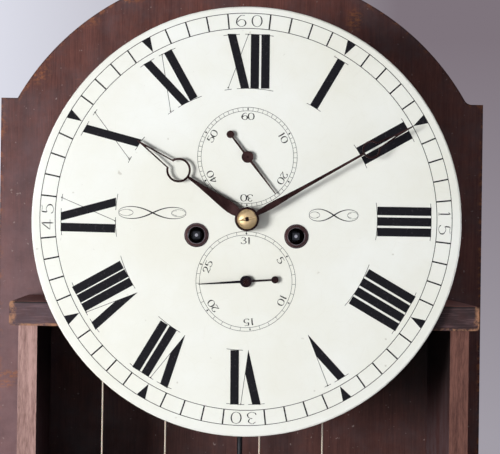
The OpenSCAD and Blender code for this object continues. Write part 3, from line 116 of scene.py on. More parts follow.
class CLOCK_PG_dial(bpy.types.PropertyGroup):
    """Sizes and colours of the painted dial."""
    numeral_out: length("Numerals, outer", "Radius at the heads of the numerals", 142.0)
    numeral_in: length("Numerals, inner", "Radius at the feet of the numerals", 100.4)
    stroke: length("Broad stroke", "Width of a numeral's broad stroke", 6.5)
    stroke_gap: length("Stroke gap", "Bare paint between two broad strokes", 1.6)
    v_foot: length("Foot of the V", "Where the V's strokes meet, from its left edge", 9.6)
    v_wide: length("Width of the V", "From its left edge to its hairline's head", 15.3)
    x_foot: length("Foot of the X", "Where the X's broad stroke ends, from its left edge", 13.9)
    x_foot_wide: length("Foot of the wide X", "The same for the wider X of nine and ten", 15.5)
    x_hair_head: length("X hairline, head", "How far its head lies past that foot", 2.3)
    x_edge: length("Edge of the X", "How far the X's right edge lies past that foot", 2.5)
    x_hair_foot: length("X hairline, foot", "Where it ends, from the X's left edge", 1.0)
    hair: length("Hairline", "Width of a hairline", 0.38)
    serif: length("Serif", "How far a serif reaches past its stroke", 3.0)
    bead: length("Bead", "Radius of the dot at the end of a hairline", 0.55)
    bead_in: length("Bead inset", "How far the dot stands in from the circle", 0.3)
    track_out: length("Track, outer", "Radius of the track's outer circle", 158.1)
    track_in: length("Track, inner", "Radius of the track's inner circle", 146.4)
    tick: length("Minute stroke", "Width of a minute stroke", 1.12)
    dart: length("Five minute mark", "Half the base of the mark", 3.7)
    dart_tip: length("Five minute mark, tip", "Half the width of the mark's tip", 0.02)
    dart_in: length("Five minute mark, gap", "From the track's inner circle to the mark's tip", 0.3)
    digit: length("Digit height", "Height of the track's digits", 8.9)
    digit_pitch: length("Digit pitch", "From one of the track's digits to the next", 12.0)
    small_out: length("Small dials, outer", "Radius of their outer circle", 38.2)
    small_in: length("Small dials, inner", "Radius of their inner circle", 35.5)
    small_line: length("Small dials, line", "Width of their circles", 0.3)
    small_tick: length("Small dials, stroke", "Width of a stroke", 0.26)
    small_dot: length("Small dials, dot", "Radius of a dot", 0.62)
    small_digit: length("Small digits, height", "Height of their digits", 5.2)
    small_drop: length("Small digits, gap", "From the inner circle to the digits", 1.6)
    small_pitch: length("Small digits, pitch", "From one digit to the next", 4.9)
    small_narrow: length("Small digits, narrow", "The same in a number with a one", 4.2)
    circle: length("Circle line", "Width of the circles of the minute track", 0.5)
    digit_thin: length("Digit, thin", "Width of a stroke that runs across", 0.28)
    digit_broad: length("Digit, broad", "Width of a stroke that runs down", 0.95)
    quill: length("Flourish line", "Width of a flourish in its scrolls", 0.22)
    quill_swell: length("Flourish swell", "What the middle of a flourish adds to that", 0.75)
    flourish_up: length("Flourish height", "How far they lie above the hand arbor", 4.0)
    flourish_rise: length("Flourish rise", "Half the height of a flourish", 4.6)
    film: length("Paint thickness", "How far the paint stands off the ground", 0.06)
    ground: colour("Ground", "White japanned ground", "F4F6F1")
    age: colour("Aged ground", "Yellowed ground", "ECECE1")
    crack: colour("Cracks", "Net of fine cracks", "B9AE93")
    speck: colour("Specks", "Specks on the ground", "8F8571")
    chipped: colour("Chips", "Ground where its edge has chipped", "8A7C68")
    ink: colour("Black paint", "Paint of the numerals", "100F14")
    faded: colour("Thin black paint", "Black paint where it has worn thin", "2B282C")


class CLOCK_PG_wood(bpy.types.PropertyGroup):
    """Colours and grain of the case."""
    dark: colour("Dark stain", "Stain in the grain", "4B2A27")
    light: colour("Light stain", "Stain between the grain", "7A4A42")
    smoke: colour("Smoke", "Greyed stain in patches", "5C4A4D")
    dusty: colour("Dust", "Dust that greys the boards outside", "85696C")
    lint: colour("Lint", "Pale specks on the boards", "A08C88")
    # Also painted shade on the inner sides of the cheeks just under the seatboard
    grime: colour("Grime", "Dark dirt along edges and joints", "1E1515")
    worn: colour("Worn edge", "Bare wood where the stain has rubbed off", "A8683F")
    # Painted shade: the seatboard runs from the left colour to the darker right one
    seat_dark: colour("Seatboard dark", "Seatboard towards the right", "2E2325")
    seat_light: colour("Seatboard light", "Seatboard towards the left", "57494F")
    seat_worn: colour("Seatboard worn", "Seatboard where it is rubbed bare", "A97B5E")
    cheek_dark: colour("Cheek dark", "Sawn edge, dark parts", "80615B")
    cheek_light: colour("Cheek light", "Sawn edge, light parts", "B5928B")
    # Painted shade: the right cheek's sawn edge is a darker copy of the left's
    stained_dark: colour("Shadowed edge dark", "Right edge, dark parts", "4C2F2A")
    stained_light: colour("Shadowed edge light", "Right edge, light parts", "775046")
    fibre: length("Fibre", "Spacing of the fibres", 0.9)
    band: length("Growth band", "Spacing of the growth bands", 11.0)
    edge: length("Edge wear", "How far wear reaches from an edge", 3.0)


class CLOCK_PG_metal(bpy.types.PropertyGroup):
    """Colours of the metals."""
    brass: colour("Brass", "Clean brass", "C9A25A")
    cap: colour("Cap", "Pale worn brass of the cap", "CDB287")
    cap_worn: colour("Cap, worn", "Brown specks on the cap", "8E7550")
    tarnish: colour("Tarnish", "Aged brass", "7D6036")
    # Also painted shade: the front plate is blackened round the winding arbors, seen through the dial's holes
    oil: colour("Old oil", "Black oil round the winding arbors", "17120F")
    bell: colour("Bell metal", "Turned bell metal", "C2A878")
    steel: colour("Steel", "Filed and polished steel", "A3A3A8")
    browned: colour("Browned steel", "Steel hands, gone brown", "2E1E1D")
    blued: colour("Blued steel", "Steel of the date hand, still blue black", "1D1B21")
    bronzed: colour("Bronzed steel", "Dark bronzed steel of the grommets", "4E3836")
    iron: colour("Cast iron", "Blackened cast iron", "37383B")
    wire: colour("Iron wire", "Dull drawn iron", "6A6866")


class CLOCK_PG_lines(bpy.types.PropertyGroup):
    """The gut lines."""
    gut_r: length("Gut radius", "Radius of the gut line", 0.75)
    lay: length("Lay", "Length of one turn of the twist", 7.0)
    knot: length("Knot", "Scale of the knot's trefoil", 1.05)
    end: length("Upper end", "How far above the seatboard the knotted fall ends", 0.5)
    strands: IntProperty(name="Strands", description="Strands in the twist", default=3, min=2, max=5)
    gut: colour("Gut", "Twisted natural gut", "E2D6C6")
    # Soiled gut, and painted shade between the strands
    gut_dark: colour("Gut shade", "Gut between the strands", "A39078")


class CLOCK_PG_stage(bpy.types.PropertyGroup):
    """Camera, lamps and floor."""
    camera: FloatVectorProperty(name="Camera", description="Place of the camera", unit="LENGTH",
                                default=(-0.03877, -1.5759, 1.76769))
    yaw: angle("Yaw", "Turn of the camera to the left", -1.573)
    pitch: angle("Pitch", "Turn of the camera upwards", 0.2446)
    roll: angle("Roll", "Turn of the camera about its view", 0.7745)
    lens: FloatProperty(name="Lens", description="Focal length on 36 mm film, in millimetres", default=141.85)
    key: watts("Key lamp", "Power of the key lamp", 56.5)
    fill: watts("Fill lamp", "Power of the weak lamp on the right", 1.0)
    low: watts("Low lamp", "Power of the lamp that reaches the case", 5.0)
    rear: watts("Rear lamp", "Power of the lamp behind", 34.0)
    floor_light: watts("Floor lamps", "Power of each floor lamp", 140.0)
    air: FloatProperty(name="Room light", description="Strength of the light all round", default=0.05)
    floor: colour("Floor", "Pale studio floor", "DCDCE2")
    pale: colour("Backdrop", "Lit side of the backdrop", "DCDDE8")
    shade: colour("Backdrop shade", "Shaded side of the backdrop", "7E747C")


GROUPS = {"clock_dial": CLOCK_PG_dial, "clock_wood": CLOCK_PG_wood, "clock_metal": CLOCK_PG_metal,
          "clock_lines": CLOCK_PG_lines, "clock_stage": CLOCK_PG_stage}


# Nodes

# What a Math node does and a Mix node mixes, unless a call says otherwise
USUAL = {"Math": {"operation": "MULTIPLY"}, "Mix": {"data_type": "RGBA"}}


def add(tree, kind, *values, out=0, **settings):
    """Adds a node and sets its settings. Its open inputs take the values in order: a constant, another node's
    output, or None to leave one as it is. Gives its open outputs by place, one by name, or the node."""
    node = tree.nodes.new("ShaderNode" + kind)
    for key, value in {**USUAL.get(kind, {}), **settings}.items():
        setattr(node, key, value)
    for socket, value in zip([s for s in node.inputs if s.enabled], values):
        if isinstance(value, bpy.types.NodeSocket):
            tree.links.new(value, socket)
        elif value is not None:
            socket.default_value = value
    if out is None:
        return node
    return node.outputs[out] if isinstance(out, str) else [s for s in node.outputs if s.enabled][out]


def new_material(name, constants):
    """A material with the constants on its shader's own sockets, add() for its nodes, and its coordinates."""
    material = bpy.data.materials.new(name)
    material.use_nodes = True
    for key, value in constants.items():
        material.node_tree.nodes["Principled BSDF"].inputs[key].default_value = value
    put = partial(add, material.node_tree)
    return material, put, put("TexCoord", out="Object")


def finish(material, put, base, rough=None, height=None, depth=0.2 * MM, strength=0.5):
    """Joins colour, roughness and relief to the material's shader."""
    inputs = material.node_tree.nodes["Principled BSDF"].inputs
    normal = None if height is None else put("Bump", strength, depth, None, height)
    for key, output in (("Base Color", base), ("Roughness", rough), ("Normal", normal)):
        if output is not None:
            material.node_tree.links.new(output, inputs[key])
    return material


def stretched(put, coords, scale, detail, rough=0.5, warp=0.0):
    """Noise drawn out along the axes. The scale is one over the size of a grain, for each axis."""
    return put("TexNoise", put("Mapping", coords, None, None, scale), 1.0, detail, rough, None, warp)


def edge_mask(put, reach, coords, size, low, high):
    """Near 1 along worn edges: where a rounded normal leaves the face's own, broken up by noise."""
    leaning = put("VectorMath", put("Bevel", reach, samples=4), put("NewGeometry", out="Normal"),
                  operation="DOT_PRODUCT")
    rub = put("TexNoise", coords, 1 / size, 5.0, 0.7)
    return put("Math", put("MapRange", leaning, 0.995, 0.86), put("MapRange", rub, low, high))


def shaded(put, base, pattern, low, high, least, most):
    """A colour made darker or lighter by a factor, which runs from least to most as the pattern does from
    low to high."""
    return put("VectorMath", base, put("MapRange", pattern, low, high, least, most), operation="SCALE")


# Woods

# Places on the backboard where the stain is scuffed, each as x, z, half width and half height in millimetres
SCUFFS = ((94, 1953, 9, 12), (-137, 1949, 16, 8), (-175, 1904, 13, 12), (-97, 1968, 14, 5),
          (-207, 1859, 8, 16), (-196, 1647, 18, 5), (-199, 1639, 14, 4))

# Heights in metres between which the dust on the backboard thins out
DUSTY, CLEAN = 1.72, 1.90


def wood(name, along, stain, rough=0.42, aged=False):
    """Softwood, planed by hand, stained red-brown and waxed: fibres and growth bands run along one axis.
    Edges are grimy, and rubbed to bare wood in places, more so on an aged board."""
    material, put, coords = new_material(name, {"Specular IOR Level": 0.22})

    def grain(spacing, stretch, warp=0.0):
        scale = [1 / spacing] * 3
        scale["XYZ".index(along)] = 1 / (stretch * spacing)
        return stretched(put, coords, scale, 4.0, 0.68, warp)

    blotch = stretched(put, coords, [1 / (62 * MM)] * 3, 7.0, 0.68)
    bands = 0.45 if aged else 0.6
    figure = put("Math", grain(stain.fibre, 26), 1 - bands, put("Math", grain(stain.band, 18, 0.5), bands),
                 operation="MULTIPLY_ADD")
    base = put("Mix", put("MapRange", figure, 0.34, 0.66), stain.dark, stain.light)
    if aged:
        base = with_age(put, coords, base, blotch, stain)
    else:
        base = shaded(put, base, blotch, 0.3, 0.7, 0.86, 1.1)
    rim = edge_mask(put, stain.edge, coords, 16 * MM, 0.30, 0.42)
    base = put("Mix", put("Math", rim, 0.8), base, stain.grime)
    wide, patch, start = (2.4, 8 * MM, 0.51) if aged else (1.6, 20 * MM, 0.54)
    rubbed = edge_mask(put, stain.edge * wide, coords, patch, start, start + 0.1)
    base = put("Mix", put("Math", rubbed, 0.8), base, stain.worn)
    return finish(material, put, base, put("MapRange", blotch, 0.3, 0.7, rough - 0.08, rough + 0.2), figure)


def with_age(put, coords, base, blotch, stain):
    """The backboard after long use: smoked in patches, dusty low on the strip outside the left cheek only,
    the right side kept darker as painted shade; painted shade darkens it where the case encloses it, with a
    painted black shadow at that field's right end; with specks of lint, knocks and scuffs."""
    x, y, z = put("SeparateXYZ", coords, out=slice(3))

    def cloud(size, detail=5.0):
        return stretched(put, coords, [1 / size] * 3, detail, 0.68)

    base = put("Mix", put("MapRange", cloud(48 * MM, 6.0), 0.44, 0.66, 0.0, 0.75), base, stain.smoke)
    # Dust lies low on the strip outside the left cheek only; keeping it off the right side is painted shade,
    # as that side lies in the dial's shadow
    outer = put("MapRange", x, LEFT_INSIDE + 8 * MM, LEFT_INSIDE - 8 * MM, 0.08, 1.0)
    dust = put("Math", put("MapRange", z, CLEAN, DUSTY, 0.0, 0.85), outer)
    dust = put("Math", dust, put("MapRange", blotch, 0.3, 0.7, 0.6, 1.0))
    base = put("Mix", dust, base, stain.dusty)
    # Painted shade: the board is darkened where the case encloses it, between the cheeks under the seatboard
    painted_recess_shade = put("MapRange", y, BOARD_FACE + 3 * MM, BOARD_FACE + 1 * MM)
    for axis, start, end in ((z, SEAT_LOW.z + 4 * MM, SEAT_LOW.z), (x, LEFT_INSIDE - 4 * MM, LEFT_INSIDE),
                             (x, 4 * MM - LEFT_INSIDE, -LEFT_INSIDE)):
        painted_recess_shade = put("Math", painted_recess_shade, put("MapRange", axis, start, end))
    base = shaded(put, base, painted_recess_shade, 0.0, 1.0, 0.9, 0.62)
    base = put("Mix", put("MapRange", cloud(3.4 * MM, 1.0), 0.74, 0.79, 0.0, 0.6), base, stain.lint)
    knock = stretched(put, coords, (60.0, 300.0, 420.0), 2.0, 0.68)
    base = put("Mix", put("MapRange", knock, 0.72, 0.82, 0.0, 0.35), base, stain.worn)
    scratched = stretched(put, coords, (260.0, 300.0, 420.0), 4.0, 0.68)
    scratched = put("MapRange", scratched, 0.46, 0.6, 0.0, 0.55)
    for scuff_x, scuff_z, wide, high in SCUFFS:
        away = put("VectorMath", coords, (1 / (wide * MM), 0, 1 / (high * MM)),
                   (-scuff_x / wide, 0, -scuff_z / high), operation="MULTIPLY_ADD")
        near = put("MapRange", put("VectorMath", away, operation="LENGTH"), 1.0, 0.4)
        base = put("Mix", put("Math", near, scratched), base, stain.worn)
    # Painted shadow: that field is made nearly black towards the right cheek, just under the seatboard, where
    # the dial's shadow falls
    painted_corner_shadow = put("Math", put("MapRange", x, -LEFT_INSIDE - 90 * MM, -LEFT_INSIDE - 25 * MM), painted_recess_shade)
    painted_corner_shadow = put("Math", painted_corner_shadow, put("MapRange", z, SEAT_LOW.z - 95 * MM, SEAT_LOW.z - 35 * MM))
    base = shaded(put, base, painted_corner_shadow, 0.0, 1.0, 1.0, 0.25)
    return shaded(put, base, cloud(26 * MM), 0.3, 0.7, 0.74, 1.16)


# The shader of a rough board without wax
UNWAXED = {"Roughness": 0.6, "Specular IOR Level": 0.2}


def cheek_wood(name, dark, light, stain, node):
    """Pine, left from the saw on the front edge and stained on the sides: the edge is speckled where the saw
    tore the fibres, and paler along its corners. Inside, painted shade makes it darker, darkest under the
    seatboard."""
    material, put, coords = new_material(name, UNWAXED)
    x, y, z = put("SeparateXYZ", coords, out=slice(3))
    low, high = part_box(node)
    torn = stretched(put, coords, (900.0, 300.0, 120.0), 3.0, 0.7)
    fibres = put("Math", torn, stretched(put, coords, (220.0, 60.0, 14.0), 4.0), operation="ADD")
    edge = put("Mix", put("MapRange", fibres, 0.78, 1.22), dark, light)
    corners = edge_mask(put, 1.6 * MM, coords, 30 * MM, 0.35, 0.5)
    edge = put("Mix", put("Math", corners, 0.7), edge, light)
    figure = put("MapRange", fibres, 0.8, 1.2)
    # Painted shade: the inner side is darker than the outer, nearly black just under the seatboard and
    # lighter lower down
    clear = put("MapRange", z, high.z - 30 * MM, high.z - 90 * MM)
    inner = put("Mix", clear, stain.grime, put("Mix", figure, stain.dark, stain.smoke))
    outside = max(-low.x, high.x)
    outer = put("MapRange", put("Math", x, operation="ABSOLUTE"), outside - 8 * MM, outside - 2 * MM)
    side = put("Mix", outer, inner, put("Mix", figure, stain.dark, stain.light))
    base = put("Mix", put("MapRange", y, low.y + 0.2 * MM, low.y + 0.9 * MM), edge, side)
    return finish(material, put, base, None, torn, 0.3 * MM, 0.8)


def seat_wood(stain):
    """A rough pine board, stained and handled: greyed at the front, darker towards the right as painted
    shade, with a dark line just under its top, and rubbed to bare orange wood round its ends and along its
    lower edge."""
    material, put, coords = new_material("handled_pine_seatboard", UNWAXED)
    x, y, z = put("SeparateXYZ", coords, out=slice(3))
    smudge = put("TexNoise", coords, 60.0, 6.0, 0.65)
    fine = stretched(put, coords, (60.0, 500.0, 900.0), 4.0)
    # Painted shade: darker from left to right across the board
    across = put("MapRange", x, SEAT_LOW.x * 0.8, SEAT_HIGH.x * 0.8)
    base = put("Mix", across, stain.seat_light, stain.seat_dark)
    base = put("Mix", put("MapRange", smudge, 0.35, 0.68, 0.0, 0.6), base, stain.dark)
    base = put("Mix", put("MapRange", fine, 0.5, 0.7, 0.0, 0.35), base, stain.dusty)
    top = put("Mix", put("MapRange", smudge, 0.3, 0.7), stain.dark, stain.light)
    for start, end, tint in ((2.2, 1.2, stain.grime), (0.5, 0.2, top)):
        base = put("Mix", put("MapRange", z, SEAT_HIGH.z - start * MM, SEAT_HIGH.z - end * MM), base, tint)
    ends = put("Math", SEAT_HIGH.x, put("Math", x, operation="ABSOLUTE"), operation="SUBTRACT")
    under = put("Math", put("Math", z, SEAT_LOW.z, operation="SUBTRACT"), 2.4)
    near = put("Math", ends, under, operation="MINIMUM")
    back = put("Math", put("Math", y, SEAT_LOW.y, operation="SUBTRACT"), 0.7)
    near = put("Math", near, back, operation="ADD")
    reach = put("MapRange", smudge, 0.3, 0.7, 1.5 * MM, 6.5 * MM)
    bare = put("MapRange", put("Math", near, reach, operation="SUBTRACT"), 1.2 * MM, -1.6 * MM, 0.0, 0.9)
    rubs = put("MapRange", put("TexNoise", coords, 110.0, 5.0, 0.7), 0.42, 0.56)
    base = put("Mix", put("Math", bare, rubs), base, stain.seat_worn)
    return finish(material, put, base, None, fine, 0.25 * MM, 0.6)


# Metals, paint and gut

def metal(name, clean, aged, rough, grain=0.4 * MM, share=(0.45, 0.75), relief=0.05 * MM, rings=(), tip=None,
          rim=None):
    """A filed or cast metal: clean where it is handled, aged in patches, with a fine scratch relief.
    Each ring, as a place, a radius and a colour, is what the metal turns to within that radius of an arbor.
    A tip colour is the end in front of the dial, browned like the hands. An edge colour is a painted
    highlight along the edges."""
    material, put, coords = new_material(name, {"Metallic": 1.0})
    patch = put("TexNoise", coords, 55.0, 6.0, 0.65)
    base = put("Mix", put("MapRange", patch, *share), clean, aged)
    for place, radius, tint in rings:
        flat = put("VectorMath", coords, (1, 0, 1), (-place.x, 0, -place.z), operation="MULTIPLY_ADD")
        away = put("VectorMath", flat, operation="LENGTH")
        base = put("Mix", put("MapRange", away, radius, radius * 1.04, 1.0, 0.0), base, tint)
    if tip is not None:
        depth = put("SeparateXYZ", coords, out="Y")
        base = put("Mix", put("MapRange", depth, DIAL_FACE - 0.2 * MM, DIAL_FACE, 1.0, 0.0), base, tip)
    if rim is not None:
        # Painted highlight along the edges
        painted_edge_highlight = edge_mask(put, 0.9 * MM, coords, 9 * MM, 0.34, 0.5)
        base = put("Mix", put("Math", painted_edge_highlight, 0.8), base, rim)
    scratch = stretched(put, coords, (1 / grain, 1 / grain, 1 / (9 * grain)), 2.0)
    worn = put("MapRange", patch, 0.3, 0.7, rough - 0.06, rough + 0.14)
    return finish(material, put, base, worn, scratch, relief, 0.35)


def japanned_ground(dial):
    """Iron painted white in many stoved and rubbed coats: nearly smooth, yellowed in patches,
    with a fine net of cracks and a few specks."""
    material, put, coords = new_material("japanned_iron_white", {"Specular IOR Level": 0.35})
    cloud = put("TexNoise", coords, 9.0, 5.0, 0.6)
    base = put("Mix", put("MapRange", cloud, 0.36, 0.68), dial.ground, dial.age)
    crack = put("TexVoronoi", coords, 1 / (11 * MM), feature="DISTANCE_TO_EDGE")
    base = put("Mix", put("MapRange", crack, 0.0, 0.018, 0.045, 0.0), base, dial.crack)
    speck = put("TexNoise", coords, 160.0, 1.0)
    base = put("Mix", put("MapRange", speck, 0.775, 0.82, 0.0, 0.35), base, dial.speck)
    base = put("Mix", edge_mask(put, 0.8 * MM, coords, 9 * MM, 0.5, 0.62), base, dial.chipped)
    ripple = put("TexNoise", coords, 60.0, 2.0)
    return finish(material, put, base, put("MapRange", cloud, 0.3, 0.7, 0.3, 0.42), ripple, 0.05 * MM)


def black_paint(dial):
    """Thin black oil paint laid with a brush: even, a little glossy, worn thin in small spots."""
    material, put, coords = new_material("dial_paint_black", {"Roughness": 0.5, "Specular IOR Level": 0.12})
    thin = put("TexNoise", coords, 420.0, 3.0)
    base = put("Mix", put("MapRange", thin, 0.6, 0.72), dial.ink, dial.faded)
    return finish(material, put, base, None, thin, 0.02 * MM, 0.3)


def gut_material(lines):
    """Natural gut, cut in strips and twisted wet: a pale, slightly clear cord, with painted shade between the
    strands.
    """
    material, put, coords = new_material("twisted_gut", {"Roughness": 0.42, "Subsurface Weight": 0.12,
                                                         "Subsurface Scale": 0.6 * MM})
    # Painted shade: darker where the twist dips between the strands
    twist = put("Attribute", out="Fac", attribute_name="strand")
    base = put("Mix", put("MapRange", twist, 0.0, 0.8), lines.gut_dark, lines.gut)
    soil = put("TexNoise", coords, 25.0, 4.0)
    base = put("Mix", put("MapRange", soil, 0.5, 0.8, 0.0, 0.4), base, lines.gut_dark)
    return finish(material, put, base)


def dress(material, *names):
    """Gives CAD nodes a material in each of their slots."""
    for name in names:
        obj = frame["nodes"][name]
        if not obj.material_slots:
            obj.data.materials.append(material)
        for place in obj.material_slots:
            place.material = material


# Meshes

def mesh_object(name, points, faces, material, smooth=False):
    """An object whose place is in its mesh, from arrays of points and faces."""
    mesh = bpy.data.meshes.new(name)
    mesh.from_pydata(np.asarray(points, float).tolist(), [], faces)
    mesh.validate()
    mesh.polygons.foreach_set("use_smooth", [smooth] * len(mesh.polygons))
    mesh.materials.append(material)
    mesh.update()
    obj = bpy.data.objects.new(name, mesh)
    bpy.context.scene.collection.objects.link(obj)
    return obj


def grid_faces(rows, columns, wrap=False, start=0):
    """Quads of a grid of points laid row by row, closed round in the column direction if wrap is set."""
    r, c = np.meshgrid(np.arange(rows - 1), np.arange(columns if wrap else columns - 1), indexing="ij")
    n = (c + 1) % columns
    quads = np.stack([r * columns + c, r * columns + n, (r + 1) * columns + n, (r + 1) * columns + c], -1)
    return (quads.reshape(-1, 4) + start).tolist()


def unit(rows):
    """Vectors, one to a row, scaled to length one."""
    return rows / np.linalg.norm(rows, axis=1)[:, None]


def ribbon(line, width):
    """A flat strip along a line: each side lies half the width away along the line's normal."""
    line = np.asarray(line, float)
    step = unit(np.gradient(line, axis=0))
    side = np.stack([step[:, 1], -step[:, 0]], 1) * np.reshape(width, (-1, 1)) / 2
    return line - side, line + side


def arc_line(radius, start, end, steps):
    """Points on a circle about the origin, by angles clockwise from the top."""
    a = np.radians(np.linspace(start, end, steps))
    return np.stack([radius * np.sin(a), radius * np.cos(a)], 1)


def circle_strip(radius, width, steps):
    """A whole circle of paint, closed on itself."""
    return ribbon(arc_line(radius, 0, 360, steps + 1), width)


def between(left, right, heights):
    """A strip between two sides, which are given by their x at each height."""
    return np.stack([left, heights], 1), np.stack([right, heights], 1)


def dot(x, y, r):
    """A round dot: its two sides lie on the circle, from just off the top to just off the foot."""
    a = np.linspace(0.06, math.pi - 0.06, 9)
    return between(x - r * np.sin(a), x + r * np.sin(a), y + r * np.cos(a))


def curve_through(points, steps=8):
    """A smooth line through points: the uniform Catmull-Rom cubic of each four neighbours."""
    p = np.asarray(points, float)
    p = np.vstack([2 * p[0] - p[1], p, 2 * p[-1] - p[-2]])
    t = np.linspace(0, 1, steps, endpoint=False)[None, :, None]
    a, b, c, d = (p[i:len(p) - 3 + i][:, None] for i in range(4))
    q = 0.5 * (2 * b + (c - a) * t + (2 * a - 5 * b + 4 * c - d) * t ** 2 + (3 * b - a - 3 * c + d) * t ** 3)
    return np.vstack([q.reshape(-1, 2), p[-2]])


def turned(strip, degrees, centre=(0.0, 0.0)):
    """A strip drawn upright above the centre, turned clockwise by an angle and moved to the centre."""
    a = math.radians(degrees)
    matrix = np.array([[math.cos(a), -math.sin(a)], [math.sin(a), math.cos(a)]])
    return tuple(side @ matrix + np.asarray(centre) for side in strip)


def moved(strip, x, y):
    """A strip shifted."""
    return tuple(side + (x, y) for side in strip)


def painted(name, strips, material, dial):
    """Strips of black paint on the dial's face: each strip is a grid of its two sides, with a thickness."""
    points, faces, start = [], [], 0
    for left, right in strips:
        points.append(np.stack([left, right], 1).reshape(-1, 2))
        faces += grid_faces(len(left), 2, start=start)
        start += len(points[-1])
    flat = np.vstack(points)
    place = np.stack([flat[:, 0], np.full(len(flat), DIAL_FACE - dial.film), flat[:, 1]], 1)
    obj = mesh_object(name, place, faces, material)
    if sum(p.normal.y for p in obj.data.polygons) > 0:
        obj.data.flip_normals()
    solid = obj.modifiers.new("film", "SOLIDIFY")
    solid.thickness, solid.offset = dial.film * 1.5, -1
    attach(obj, "case")


# Numbers and letters

# Digits, drawn in a box one unit high with the feet at 0, each as a few strokes through points
DIGITS = {
    "0": [[(0, 1), (-0.3, 0.86), (-0.42, 0.5), (-0.3, 0.14), (0, 0), (0.3, 0.14), (0.42, 0.5), (0.3, 0.86),
           (0, 1)]],
    "1": [[(-0.16, 0.84), (-0.04, 0.93), (0, 1)], [(0, 1), (0, 0.5), (0, 0)],
          [(-0.14, 0), (0, 0), (0.14, 0)]],
    "2": [[(-0.3, 0.7), (-0.3, 0.86), (-0.04, 1), (0.28, 0.84), (0.24, 0.54), (-0.1, 0.24), (-0.36, 0.02)],
          [(-0.36, 0.02), (-0.1, 0.08), (0.16, 0.0), (0.4, 0.1)]],
    "3": [[(-0.32, 0.84), (-0.06, 1), (0.26, 0.84), (0.18, 0.6), (-0.06, 0.54)],
          [(-0.06, 0.54), (0.26, 0.46), (0.36, 0.2), (0.06, 0), (-0.26, 0.06), (-0.38, 0.22)]],
    "4": [[(0.14, 1), (-0.16, 0.62), (-0.42, 0.28)], [(-0.42, 0.28), (0, 0.28), (0.42, 0.28)],
          [(0.14, 1), (0.14, 0.5), (0.14, 0)]],
    "5": [[(-0.22, 1), (0.06, 0.96), (0.34, 1)], [(-0.22, 1), (-0.26, 0.78), (-0.28, 0.54)],
          [(-0.28, 0.54), (0.02, 0.62), (0.32, 0.44), (0.32, 0.16), (0.02, 0), (-0.28, 0.06), (-0.38, 0.2)]],
    "6": [[(0.3, 0.94), (-0.02, 0.96), (-0.34, 0.66), (-0.4, 0.28), (-0.14, 0.02), (0.2, 0.04), (0.38, 0.3),
           (0.22, 0.56), (-0.1, 0.58), (-0.36, 0.36)]],
}

# Each hour with how far the painter set it off its place, in degrees clockwise
HOURS = (("XII", -0.1), ("I", 0.1), ("II", 0.3), ("III", 0.15), ("IIII", 0.0), ("V", 0.1),
         ("VI", -0.4), ("VII", 0.7), ("VIII", 0.55), ("IX", 0.8), ("X", 0.9), ("XI", 0.45))

# What eight, the widest hour, keeps of the gap between two strokes, and a hairline's share of a full serif
TIGHT_GAP, HAIR_SERIF = 0.55, 0.9

# A digit's stroke swells at each end from a share of its breadth to all of it, over a few points
END_SHARE, END_POINTS = 0.35, 3


def number(text, height, dial, pitch):
    """Strokes of a number about x = 0: a stroke is broad where it runs up and down, and thin across."""
    strips = []
    for i, digit in enumerate(text):
        x = (i - (len(text) - 1) / 2) * pitch
        for points in DIGITS[digit]:
            line = curve_through(points) * height + (x, 0)
            upright = np.abs(unit(np.gradient(line, axis=0))[:, 1])
            place = np.arange(len(line))
            taper = np.clip(np.minimum(place, place[::-1]) / END_POINTS, END_SHARE, 1)
            broad = (dial.digit_broad - dial.digit_thin) * upright ** 2 * taper
            strips.append(ribbon(line, dial.digit_thin + broad))
    return strips


def letter_strokes(letter, dial, wide):
    """Strokes of one letter with its left edge at 0, as (kind, head x, foot x), and its width at the head.
    A broad stroke is placed by its middle. V and X cross from broad on the left to hairline on the right."""
    middle = dial.stroke / 2
    if letter == "I":
        return [("broad", middle, middle)], dial.stroke
    if letter == "V":
        return [("wedge", middle, dial.v_foot), ("hair", dial.v_wide, dial.v_foot)], dial.v_wide
    foot = dial.x_foot_wide if wide else dial.x_foot
    return [("broad", middle, foot), ("hair", foot + dial.x_hair_head, dial.x_hair_foot)], foot + dial.x_edge


def wedge(a, apex, hair_head, head, foot, dial):
    """The V's broad stroke from a at the head to its apex at the foot. The right side follows the stroke's
    own slope down to where it meets the hairline, and the hairline from there on."""
    middle, rise = dial.stroke / 2, head - foot
    slope, lean = (a - middle - apex) / rise, (hair_head - apex) / rise
    meet = (a + middle - apex - slope * rise) / (lean - slope)
    heights = np.array([head, foot + meet, foot])
    left = apex + slope * (heights - foot)
    right = np.minimum(left + dial.stroke, apex + lean * (heights - foot) + dial.hair / 2)
    return between(left, right, heights)


